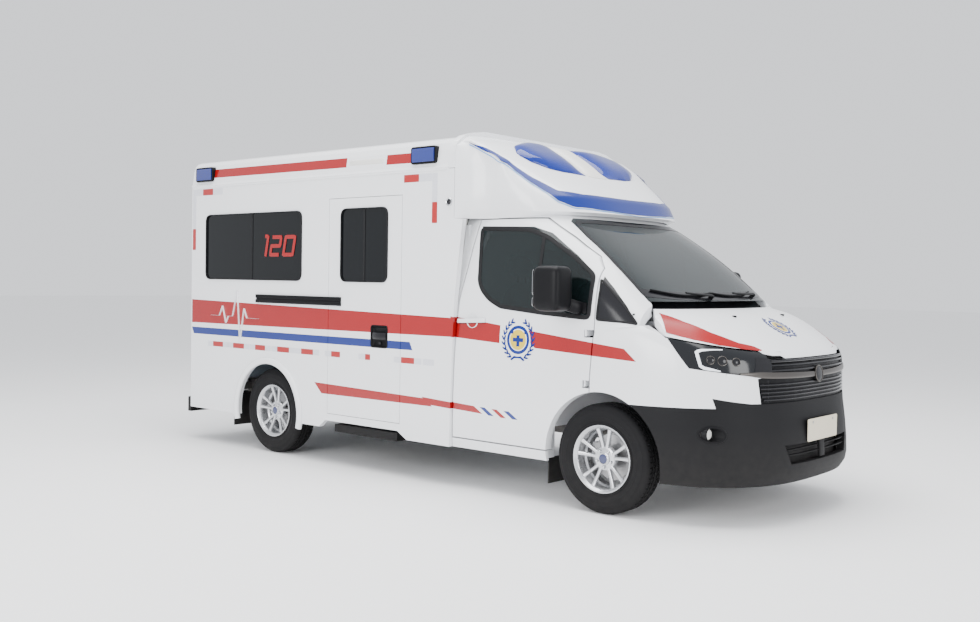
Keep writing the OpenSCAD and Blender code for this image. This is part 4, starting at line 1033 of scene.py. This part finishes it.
fog_rims, fog_glass = [], []
turns = np.arange(48) * 2 * np.pi / 48
for at in both_hands([(2.487, -0.86, 0.568)]):
    edge = at + np.stack([0 * turns, 0.046 * np.cos(turns), 0.046 * np.sin(turns)], axis=1)
    path = along_x(NOSE, edge, 0.0005)
    fog_rims.append(laid(NOSE, path, oval(0.014, 0.006, 2.6, 10), wrap=True))
    at = along_x(NOSE, at)[0] - (0.03, 0.0, 0.0)
    fog_rims.append(lathe([(0.033, -0.03), (0.0405, -0.03), (0.0405, 0.004), (0.038, 0.008), (0.034, 0.004)],
                          at, (1, 0, 0), 48))
    fog_glass.append(lathe([(0, -0.02), (0.034, -0.02), (0.034, -0.004), (0.026, 0.004), (0, 0.007)], at,
                           (1, 0, 0), 40))
piece("fog_lamp_rims", fog_rims, "black_plastic")
piece("fog_lamp_glass", fog_glass, "lamp_cream", "lamp_lens")

slats = []
for z, half in ((0.425, 0.43), (0.458, 0.42), (0.49, 0.41)):
    path = shape.onto(NOSE, joined(2.72, across * half, z), -0.026)
    slats.append(laid(NOSE, path, oval(0.009, 0.03, 2.6, 12)))
post = joined(2.728, 0.0, np.linspace(0.385, 0.52, 7))
slats.append(rod(shape.onto(NOSE, post, -0.012), oval(0.075, 0.022, 4.0, 14), flat=(1, 0, 0)))
piece("intake_slats", slats, "bumper_plastic")
liner = joined(2.66, across * 0.52, 0.445)
liner[:, 0] = shape.onto(NOSE, liner, -0.075)[:, 0]
piece("intake_liner", [rod(liner, oval(0.19, 0.012, 6.0, 14), flat=(1, 0, 0))], "rubber")

finish("plate_cream", (0.66, 0.6, 0.46), 0.4, 200.0, 0.06, 0.1, 0.0003, 0.15, 0.7)
plate_rings = ((0.0, 0.0), (0.0, 0.0045), (0.0012, 0.0055), (0.005, 0.0055), (0.0062, 0.0043),
               (0.0085, 0.0043))
loop = dense(rect(-0.22, 0.22, 0.493, 0.633, 0.012, 6), 0.04)
piece("front_plate", [plate(loop, plate_rings, on_end(2.7535, 1.0))], "plate_cream", "lining")
bolt = [(0, 0), (0.008, 0), (0.008, 0.003), (0.005, 0.0048), (0, 0.005)]
piece("front_plate_bolts", [lathe(bolt, (2.7578, y, 0.61), (1, 0, 0), 6) for y in (-0.15, 0.15)],
      "disc_steel", angle=20.0)

# Red flashes along the hood's front corners, and a painted lip that closes each corner above the lamp.
FLASH_HIGH = ((2.03, -0.8, 1.285), (2.2, -0.79, 1.235), (2.349, -0.735, 1.168), (2.487, -0.641, 1.108),
              (2.548, -0.56, 1.087), (2.59, -0.53, 1.064))
FLASH_LOW = ((2.15, -0.915, 1.16), (2.23, -0.888, 1.14), (2.305, -0.855, 1.124), (2.428, -0.772, 1.096),
             (2.53, -0.655, 1.072), (2.59, -0.552, 1.06))
LIP_EDGE = ((2.572, -0.566, 1.071), (2.612, -0.5, 1.064), (2.648, -0.384, 1.053))
LIP_FOOT = ((2.606, -0.556, 1.046), (2.642, -0.49, 1.036), (2.664, -0.384, 1.03))
flashes = []
for hand in (0, 1):
    high, low = (along_line(both_hands(edge)[hand], 40) for edge in (FLASH_HIGH, FLASH_LOW))
    flashes.append(film_on(NOSE, between(high, low), 0.0014))
finish("film_red", (0.3, 0.002, 0.004), 0.24, 400.0, 0.05, 0.03, 0.0002, 0.02, 0.5, Specular_IOR_Level=0.3)
finish("film_blue", (0.006, 0.022, 0.18), 0.24, 400.0, 0.05, 0.03, 0.0002, 0.02, 0.5, Specular_IOR_Level=0.3)
finish("handle_white", (0.8, 0.81, 0.83), 0.24, 420.0, 0.02, 0.04, 0.0002, 0.08, 0.5, Coat_Weight=0.3)
lips = []
for hand in (0, 1):
    edge, foot = (along_line(both_hands(line)[hand], 20) for line in (LIP_EDGE, LIP_FOOT))
    lips.append(film_on(NOSE, between(edge, foot), 0.0011, 0.004))
piece("hood_lips", lips, "handle_white", "white_paint", "hood")
piece("hood_flashes", flashes, "film_red", "white_paint", "hood")

# Generic ambulance badge: a plain cross on a yellow disc in a blue ring, between two laurel sprays.
finish("film_yellow", (0.66, 0.48, 0.03), 0.3, 400.0, 0.06, 0.03, 0.0002, 0.05, 0.5, Coat_Weight=0.4)


def emblem(name, place, scale, body):
    """Flat shapes of film, each lifted a little more than the one under it."""
    t = np.arange(48) * 2 * np.pi / 48
    circle = np.stack([np.cos(t), np.sin(t)], axis=1)
    arm, reach = 0.013, 0.044
    cross = [(arm, arm), (arm, reach), (-arm, reach), (-arm, arm), (-reach, arm), (-reach, -arm),
             (-arm, -arm), (-arm, -reach), (arm, -reach), (arm, -arm), (reach, -arm), (reach, arm)]

    def flat(loop, low, high):
        """One film shape between two heights."""
        return plate(np.asarray(loop) * scale, ((0.0, low), (0.0, high - 0.0001), (0.0003, high)), place)

    leaves = []
    for hand in (-1, 1):
        for turn in np.radians(np.linspace(-62, 58, 9)):
            for splay in (-0.55, 0.45):
                long = np.stack([0.02 * np.cos(t), 0.0062 * np.sin(t)], axis=1)
                tilt = turn + np.pi / 2 + splay
                c, s = math.cos(tilt), math.sin(tilt)
                at = 0.122 * np.array([math.cos(turn), math.sin(turn)]) * (1.0, 1.08)
                spray = long @ np.array([[c, s], [-s, c]]) + at + 0.014 * np.array([c, s])
                leaves.append(flat((spray * (hand, 1))[::hand], 0.0006, 0.0011))
    for lean in (-1, 1):
        bow = np.array([(0.0, -0.112), (lean * 0.03, -0.108), (lean * 0.062, -0.132), (lean * 0.05, -0.14),
                        (lean * 0.022, -0.122), (0.0, -0.122)])
        leaves.append(flat(bow[::lean], 0.0006, 0.0011))
    ring = flat(circle * 0.096, 0.0006, 0.0012)
    plus = flat(dense(np.array(cross)[::-1], 0.01), 0.0018, 0.0024)
    piece(name + "_blue", [ring, *leaves, plus], "film_blue", "white_paint", body)
    piece(name + "_white", [flat(circle * 0.074, 0.001, 0.0016), flat(circle * 0.104, 0.0002, 0.0008)],
          "film_white", "white_paint", body)
    piece(name + "_yellow", [flat(circle * 0.068, 0.0014, 0.002)], "film_yellow", "white_paint", body)


for hand, side in HANDS:
    def on_door(a, b, h, side=side):
        """Places the badge upright on a door's skin."""
        points = joined(1.067 + a, side * 0.995, 1.069 + b)
        base = shape.onto(NOSE, points, 0.0008)
        return base + np.array([0.0, side, 0.0]) * h[..., None]

    emblem("door_emblem_" + hand, on_door, 1.0, "cab_door_" + hand)


def on_hood(a, b, h):
    """Places the badge on the hood, its top towards the windscreen."""
    points = np.stack([2.448 - b * 0.86, a, 1.19 + b * 0.5], axis=-1)
    return shape.onto(NOSE, points, 0.001) + np.array([0.45, 0.0, 0.89]) * h[..., None]


emblem("hood_emblem", on_hood, 0.85, "hood")
jets = []
for y in (-0.345, 0.345):
    at = shape.onto(NOSE, np.array([[2.302, y, 1.255]]), 0.0)[0]
    jets.append(eased_box(at - (0.016, 0.011, 0.004), at + (0.016, 0.011, 0.009), 3.0, (18, 9)))
piece("washer_jets", jets, "black_plastic", "black_plastic", "hood")


# --- Cab glass and fittings ---
# The windscreen has a baked black border and two wipers at its foot. The door windows are sealed in
# black rubber, and the doors carry white pull handles, each over a black strip of painted shade, and big
# black mirrors.
def screen_guess(yz):
    """Points near the windscreen for (y, z) in metres: x falls with height along its lean."""
    z = yz[..., 1] * 1000
    lean = 241 - 1.29 * (z - 1360) + 22 * np.sin(np.pi * np.clip((z - 1360) / 595, 0, 1))
    return np.stack([FRONT_AXLE + lean / 1000 - 0.25 * yz[..., 0] ** 4, yz[..., 0], yz[..., 1]], axis=-1)


SCREEN = ("cabin",)
rim_yz = dense(outline([(-0.785, 1.352), (0.785, 1.352), (0.766, 1.56), (0.726, 1.76), (0.684, 1.862),
                        (0.632, 1.886), (-0.632, 1.886), (-0.684, 1.862), (-0.726, 1.76), (-0.766, 1.56)],
                       0.02, 4), 0.04)
ahead = np.roll(rim_yz, -1, axis=0) - np.roll(rim_yz, 1, axis=0)
inward = np.stack([-ahead[:, 1], ahead[:, 0]], axis=1) / np.linalg.norm(ahead, axis=1, keepdims=True)
wide = np.where(rim_yz[:, 1] < 1.4, 0.05, 0.026)[:, None]
frit_grid = np.stack([rim_yz + inward * wide * k for k in (0.0, 0.35, 0.7, 1.0)], axis=1)
top = shape.onto(SCREEN, screen_guess(frit_grid), 0.0016)
under = shape.onto(SCREEN, screen_guess(frit_grid), 0.0008)
piece("windscreen_border", [shell(np.concatenate([top, under[:, ::-1]], axis=1), wrap_u=True, wrap_v=True)],
      "gloss_black", "gloss_black")

wipers = []
for y0, y1, pivot in ((-0.7, -0.02, -0.05), (-0.02, 0.58, 0.6)):
    t = np.linspace(0, 1, 31)
    blade = screen_guess(np.stack([y0 + (y1 - y0) * t, 1.392 - 0.018 * np.sin(np.pi * t)], axis=1))
    path = shape.onto(SCREEN, blade, 0.01)
    wipers.append(laid(SCREEN, path, oval(0.012, 0.016, 2.4, 10)))
    mid = (y0 + y1) / 2
    arm = screen_guess(np.stack([pivot + (mid - pivot) * t, 1.368 + 0.016 * t], axis=1))
    path = shape.onto(SCREEN, arm, 0.0205)
    wipers.append(laid(SCREEN, path, swelling(oval(0.022, 0.01, 2.6, 10), 1.1 - 0.5 * t)))
    foot = shape.onto(SCREEN, screen_guess(np.array([[pivot, 1.366]])), 0.004)[0]
    wipers.append(lathe([(0, 0), (0.016, 0), (0.016, 0.016), (0.012, 0.021), (0, 0.022)], foot,
                        (0.6, 0, 0.8), 24))
piece("wipers", wipers, "black_plastic")

DOOR_WINDOW = ((-1105, 1840), (-652, 1828), (-500, 1784), (-264, 1634), (-128, 1530), (-112, 1500),
               (-108, 1230), (-480, 1252), (-848, 1284), (-950, 1330), (-1020, 1390), (-1060, 1450))
QUARTER = ((-50, 1222), (-50, 1500), (30, 1428), (140, 1316), (232, 1206))
for hand, side in HANDS:
    door = "cab_door_" + hand
    ring = dense(outline(np.array(DOOR_WINDOW) / 1000 + (FRONT_AXLE, 0), 0.035, 5), 0.05)
    path = shape.onto(NOSE, joined(ring[:, 0], side * 0.94, ring[:, 1]), 0.001)
    mull = joined(1.19, side * 0.94, np.linspace(1.255, 1.825, 15))
    mull = shape.onto(NOSE, mull, 0.0012)
    piece("door_seal_" + hand, [laid(NOSE, path, oval(0.03, 0.0065, 3.0, 12), wrap=True),
                                laid(NOSE, mull, oval(0.026, 0.005, 3.0, 10))], "rubber", "rubber", door)
    ring = dense(outline(np.array(QUARTER) / 1000 + (FRONT_AXLE, 0), 0.016, 5), 0.05)
    path = shape.onto(NOSE, joined(ring[:, 0], side * 0.95, ring[:, 1]), 0.0008)
    piece("quarter_seal_" + hand, [laid(NOSE, path, oval(0.014, 0.005, 3.0, 10), wrap=True)], "rubber")
    t = np.linspace(0, 1, 25)
    pull = joined(0.52 + 0.25 * t, side * 0.99, 1.176 + 0.012 * t)
    arch = 0.004 + 0.016 * np.sin(np.pi * t) ** 0.5
    pull = shape.onto(NOSE, pull, 0.0) + np.array([0, side, 0]) * arch[:, None]
    skin = float(np.abs(shape.onto(NOSE, np.array([[0.664, side * 0.99, 1.185]]), 0.0)[0, 1]))
    dish = lathe([(0, 0.0), (0.052, 0.0), (0.054, 0.0022), (0.05, 0.0036), (0.044, 0.0014), (0, 0.0006)],
                 (0.65, side * (skin - 0.0006), 1.183), (0, side, 0), 48)
    piece("door_handle_" + hand, [rod(pull, oval(0.013, 0.03, 3.0, 16), flat=(0, 0, 1)), dish],
          "handle_white", "white_paint", door)
    # Painted shade: a thin black strip laid flat on the door skin just under the pull handle darkens the gap
    # between handle and door.
    handle_shade_path = pull * (1, 0, 1) + np.array([0, side * (skin + 0.0014), 0.0])
    piece("door_handle_shade_" + hand, [rod(handle_shade_path - (0, 0, 0.016), oval(0.0022, 0.007, 3.0, 10),
                                          flat=(0, 0, 1))], "rubber", "rubber", door)

    # Mirror head: a rounded shell on a stubby arm, with two panes on its rear face.
    reach = sorted((side * 1.046, side * 1.229))
    head = eased_box((1.346, reach[0], 1.273), (1.553, reach[1], 1.561), 5.5, (40, 23))
    arm = along_line([(1.552, side * 0.962, 1.292), (1.545, side * 1.01, 1.3), (1.495, side * 1.075, 1.325)],
                     15)
    sail = shape.onto(NOSE, np.array([[x, side * 0.96, 1.292] for x in np.linspace(1.499, 1.606, 9)]), 0.001)
    mirror = piece("mirror_shell_" + hand, [head, rod(arm, oval(0.06, 0.085, 2.6, 16), flat=(0, 0, 1)),
                                            rod(sail, oval(0.07, 0.006, 3.0, 12), flat=(0, side, 0))],
                   "black_plastic", body=door)
    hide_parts("mirror_" + hand)
    panes = []
    for z0, z1 in ((1.3, 1.362), (1.372, 1.536)):
        y0, y1 = reach[0] + 0.018, reach[1] - 0.018
        loop = rect(y0, y1, z0, z1, 0.02, 6)
        panes.append(plate(dense(loop, 0.03), ((0.0, 0.0), (0.0, 0.003), (0.002, 0.0042)),
                           on_end(1.3475, -1.0)))
    piece("mirror_panes_" + hand, panes, "chrome", "alloy", door)


# --- Roof fairing ---
# A moulded cap over the cab with a dark blue band edged in light blue, two blue beacon domes on a pale
# spine, and a round marker lamp behind it on each side of the box.
LOW_EDGE = [(0.56, -0.955, 2.418), (0.75, -0.899, 2.325), (0.987, -0.832, 2.148), (1.178, -0.735, 2.009),
            (1.25, -0.646, 1.967), (1.323, -0.412, 1.956), (1.35, -0.2, 1.95), (1.358, 0.0, 1.948)]
HIGH_EDGE = [(0.56, -0.955, 2.42), (0.795, -0.887, 2.335), (1.008, -0.79, 2.17), (1.145, -0.694, 2.082),
             (1.213, -0.502, 2.06), (1.239, -0.3, 2.058), (1.25, -0.12, 2.056), (1.252, 0.0, 2.056)]


def whole(edge):
    """An edge on the right and its reflection, as one line from right to left."""
    edge = np.asarray(edge, float)
    return along_line(np.concatenate([edge, (edge * (1, -1, 1))[-2::-1]]), 121)


CAP = ("fairing",)
low_edge, high_edge = whole(LOW_EDGE), whole(HIGH_EDGE)
piece("fairing_band", [film_on(CAP, between(low_edge, high_edge), 0.0022, 0.0016)], "film_blue", "white_grp")
finish("film_sky", (0.1, 0.3, 0.66), 0.26, 400.0, 0.05, 0.03, 0.0002, 0.08, 0.5, Coat_Weight=0.5)
path = shape.onto(CAP, low_edge - (0.0, 0.0, 0.012), 0.0018)
piece("fairing_band_edge", [laid(CAP, path, oval(0.007, 0.002, 3.0, 8))], "film_sky", "white_grp")


def dome(y0, y1, rise, front, back, count=(33, 25)):
    """A lens on the fairing: a grid from y0 to y1 and front to back, raised by rise times
    (1 - s^4)(1 - t^4) with s and t from -1 to 1, closed by a floor just under the skin."""
    s, t = np.linspace(-1, 1, count[0])[:, None], np.linspace(-1, 1, count[1])[None]
    y = y0 + (y1 - y0) * (s + 1) / 2 + 0 * t
    edge = np.interp(np.abs(y), *np.array(front).T)
    far_edge = np.interp(np.abs(y), *np.array(back).T)
    x = edge + (far_edge - edge) * (t + 1) / 2
    guess = np.stack([x, y, np.minimum(2.235 + (1.0 - x) * 0.62, 2.495)], axis=-1)
    bulge = rise * (1 - s ** 4) * (1 - t ** 4)
    base = shape.onto(CAP, guess, 0.0)
    out = gloss.outward(CAP, base)
    top = base + out * (0.004 + bulge)[..., None]
    top[..., 2] = np.minimum(top[..., 2], 2.5215)
    under = base - out * 0.006
    under[..., 2] = np.minimum(under[..., 2], 2.519)
    return leaf(top, under)


FRONT_LINE = [(0.06, 1.0), (0.177, 0.985), (0.4, 0.972), (0.52, 0.945), (0.64, 0.88), (0.7, 0.8)]
BACK_LINE = [(0.06, 0.56), (0.177, 0.565), (0.4, 0.59), (0.6, 0.68), (0.7, 0.79)]
beacons = piece("beacon_domes", [dome(y, y + 0.54, 0.04, FRONT_LINE, BACK_LINE) for y in (-0.69, 0.15)],
                "blue_lens", angle=60.0)
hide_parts("beacons")
CORE_FRONT, CORE_BACK = [(0.0, 0.93), (0.7, 0.84)], [(0.0, 0.62), (0.7, 0.74)]
piece("beacon_cores", [dome(y, y + 0.4, 0.016, CORE_FRONT, CORE_BACK, (17, 13)) for y in (-0.6, 0.2)],
      "chrome", "alloy", angle=60.0)
piece("beacon_spine", [dome(-0.118, 0.118, 0.026, FRONT_LINE, BACK_LINE, (17, 25))], "lamp_cream",
      "lamp_lens", angle=60.0)
MARKER_X, MARKER_Z = 0.45, 2.007
markers, marker_cores = [], []
for side in (-1.0, 1.0):
    at = (MARKER_X, side * (BOX_Y - 0.001), MARKER_Z)
    markers.append(lathe([(0.019, 0), (0.029, 0), (0.03, 0.006), (0.026, 0.01), (0.02, 0.007)], at,
                         (0, side, 0), 40))
    marker_cores.append(lathe([(0, 0), (0.0195, 0), (0.0195, 0.005), (0.012, 0.009), (0, 0.01)], at,
                              (0, side, 0), 32))
piece("marker_rims", markers, "chrome", "alloy")
piece("marker_lenses", marker_cores, "lamp_lens")


# --- Rear ---
# Two hinged doors with lock rods, a black lever and a blank plate, sealed windows, banks of three round-
# cornered lamps and a ribbed tread on the bumper.
DOOR_X, LOCK_Y = -2.6733, 0.06
for hand, side in HANDS:
    door = "rear_door_" + hand
    x, y = DOOR_X, side * LOCK_Y
    ring = dense(rect(side * 0.15, side * 0.73, PANE_FOOT, 1.915, 0.062, 7), 0.08)
    path = joined(x, ring[:, 0], ring[:, 1])
    piece("rear_seal_" + hand, [rod(path, oval(0.024, 0.007, 3.0, 12), flat=(1, 0, 0), wrap=True)], "rubber",
          "rubber", door)
    shut = joined(x - 0.0002, side * 0.01, np.linspace(0.575, 2.045, 9))
    piece("rear_edge_" + hand, [rod(shut, oval(0.01, 0.006, 3.0, 10), flat=(1, 0, 0))], "rubber", "rubber",
          door)
    lock = joined(x - 0.01, y, np.linspace(0.64, 1.38, 9))
    parts = [rod(lock, oval(0.016, 0.016, 2.0, 12), flat=(1, 0, 0))]
    for z in (0.7, 1.0, 1.32):
        parts.append(eased_box((x - 0.02, y - 0.026, z - 0.018), (x + 0.001, y + 0.026, z + 0.018), 5.0,
                               (20, 9)))
    piece("lock_rod_" + hand, parts, "disc_steel", "disc_steel", door)
    lever = along_line([(x - 0.018, y, 1.105), (x - 0.024, side * 0.09, 1.105),
                        (x - 0.022, side * 0.19, 1.1)], 13)
    piece("lock_lever_" + hand, [rod(lever, oval(0.012, 0.026, 3.0, 12), flat=(0, 0, 1)),
                                 eased_box((x - 0.014, side * 0.062 - 0.04, 1.05),
                                           (x + 0.001, side * 0.062 + 0.04, 1.16),
                                           5.0, (24, 11))], "black_plastic", "black_plastic", door)
rear_lamps, rear_rims = [], []
for side in (-1.0, 1.0):
    for z in (0.405, 0.565, 0.85):
        y0, y1 = sorted((side * 0.921, side * 1.014))
        loop = dense(rect(y0, y1, z + 0.003, z + 0.147, 0.022, 6), 0.03)
        place = on_end(-2.6755, -1.0)
        rear_rims.append(plate(loop, ((0.0, 0.0), (0.0, 0.014), (0.002, 0.017), (0.008, 0.0175),
                                      (0.009, 0.012)), place))
        loop = dense(rect(y0 + 0.009, y1 - 0.009, z + 0.012, z + 0.138, 0.016, 6), 0.03)
        rear_lamps.append(plate(loop, ((0.0, 0.006), (0.0, 0.014), (0.004, 0.0175), (0.014, 0.019)), place))
lamps = piece("rear_lamp_lenses", rear_lamps, "red_lens")
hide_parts("tail_lights")
piece("rear_lamp_rims", rear_rims, "black_plastic")
treads = [rod(joined(x, np.linspace(-0.58, 0.58, 41), 0.3925),
              oval(0.01, 0.006, 2.4, 8), flat=(0, 0, 1)) for x in np.linspace(-2.745, -2.69, 4)]
piece("bumper_tread", treads, "rubber")
step = [rod(joined(np.linspace(-0.745, -0.085, 31), y, 0.3225),
            oval(0.01, 0.005, 2.4, 8), flat=(0, 0, 1)) for y in np.linspace(-0.985, -0.86, 6)]
piece("side_step_tread", step, "rubber")
loop = dense(rect(-0.22, 0.22, 0.285, 0.35, 0.01, 5), 0.04)
piece("rear_plate",
      [plate(loop, ((0.0, 0.0), (0.0, 0.0035), (0.0012, 0.0045), (0.005, 0.0045), (0.006, 0.0035)),
             on_end(-2.7595, -1.0))], "plate_cream", "lining")


# --- Cab interior ---
# Two cloth seats of moulded foam with headrests, on steel boxes, and a padded steering wheel on the left.
# Each cushion is crowned and drawn in between its corners, with two sewn channels from front to back.
def cushion(low, high, crown, lean=0.0, pinch=0.12, steps=(48, 30)):
    """A stuffed block: a superellipsoid whose sides draw in between its corners by pinch, whose faces crown,
    and which leans back with height. Two sewn channels run front to back as narrow dips."""
    low, high = np.asarray(low, float), np.asarray(high, float)
    u = np.arange(steps[0]) * 2 * np.pi / steps[0] + np.pi / steps[0]
    v = np.linspace(-np.pi / 2, np.pi / 2, steps[1])
    a = soft(np.cos(v), 4.0)[:, None] * soft(np.cos(u), 6.0)[None]
    b = soft(np.cos(v), 4.0)[:, None] * soft(np.sin(u), 6.0)[None]
    c = soft(np.sin(v), 3.0)[:, None] + 0 * u[None]
    draw = (1 - pinch * (1 - np.maximum(np.abs(a), np.abs(b)) ** 2) * 0.3
            - pinch * 0.25 * (1 - a ** 2 * b ** 2))
    flat = np.stack([a * draw, b * draw, c * (1 - crown * (a ** 2 + b ** 2) / 2)], axis=-1)
    dips = np.exp(-((np.abs(b) - 0.55) / 0.05) ** 2) * 0.06
    flat[..., 2] *= 1 - dips
    flat[..., 0] *= 1 - dips
    points = (low + high) / 2 + flat * (high - low) / 2
    points[..., 0] -= (points[..., 2] - low[2]) * lean
    return shell(points, wrap_v=True)


for hand, y in (("left", 0.43), ("right", -0.43)):
    base = cushion((0.7, y - 0.245, 0.765), (1.19, y + 0.245, 0.895), 0.25)
    back = cushion((0.69, y - 0.235, 0.86), (0.8, y + 0.235, 1.45), 0.25, lean=0.175)
    rest = cushion((0.59, y - 0.125, 1.485), (0.665, y + 0.125, 1.645), 0.3, lean=0.15)
    bolsters = [rod(along_line([(0.745, y + k * 0.232, 0.905), (1.15, y + k * 0.232, 0.895)], 15),
                    oval(0.03, 0.05, 2.4, 12), flat=(0, 0, 1)) for k in (-1, 1)]
    seat = piece("seat_" + hand, [base, back, rest, *bolsters], "seat_cloth", angle=60.0)
    if hand == "left":
        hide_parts("cab_seats")
    posts = [rod(along_line([(0.64, y + k * 0.045, 1.4), (0.628, y + k * 0.045, 1.5)], 5),
                 oval(0.012, 0.012, 2.0, 10),
                 flat=(1, 0, 0)) for k in (-1, 1)]
    box = eased_box((0.715, y - 0.215, 0.5395), (1.175, y + 0.215, 0.79), 12.0, (36, 15))
    piece("seat_frame_" + hand, [box, *posts], "frame_black")
COLUMN_LEAN = math.radians(-62)
RIM_R = 0.175
wheel_axis = np.array([math.sin(COLUMN_LEAN), 0.0, math.cos(COLUMN_LEAN)])
hub = np.array([FRONT_AXLE - 0.33, 0.4, 1.08]) + wheel_axis * 0.17
t = np.arange(72) * 2 * np.pi / 72
across_wheel = np.array([wheel_axis[2], 0.0, -wheel_axis[0]])
ring = hub + RIM_R * (np.cos(t)[:, None] * across_wheel + np.sin(t)[:, None] * np.array([0, 1.0, 0]))
parts = [rod(ring, oval(0.028, 0.03, 2.2, 14), flat=wheel_axis, wrap=True),
         lathe([(0, 0), (0.058, 0), (0.062, 0.016), (0.052, 0.03), (0, 0.034)], hub, wheel_axis, 40)]
for turn in (0.0, np.pi / 2 * 1.05, -np.pi / 2 * 1.05):
    way = -math.cos(turn) * across_wheel + math.sin(turn) * np.array([0, 1.0, 0])
    parts.append(rod(along_line([hub + way * 0.045 + wheel_axis * 0.012,
                                 hub + way * 0.165 + wheel_axis * 0.004], 9),
                     oval(0.034, 0.014, 2.8, 12), flat=wheel_axis))
wheel = piece("steering_rim", parts, "black_plastic")
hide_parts("steering_wheel")


# --- Remaining finishes ---
# CAD nodes still without a material take the finish of their slot.
for node, obj in frame["nodes"].items():
    if not obj.data.materials:
        obj.data.materials.append(finishes[slot_of[node]])
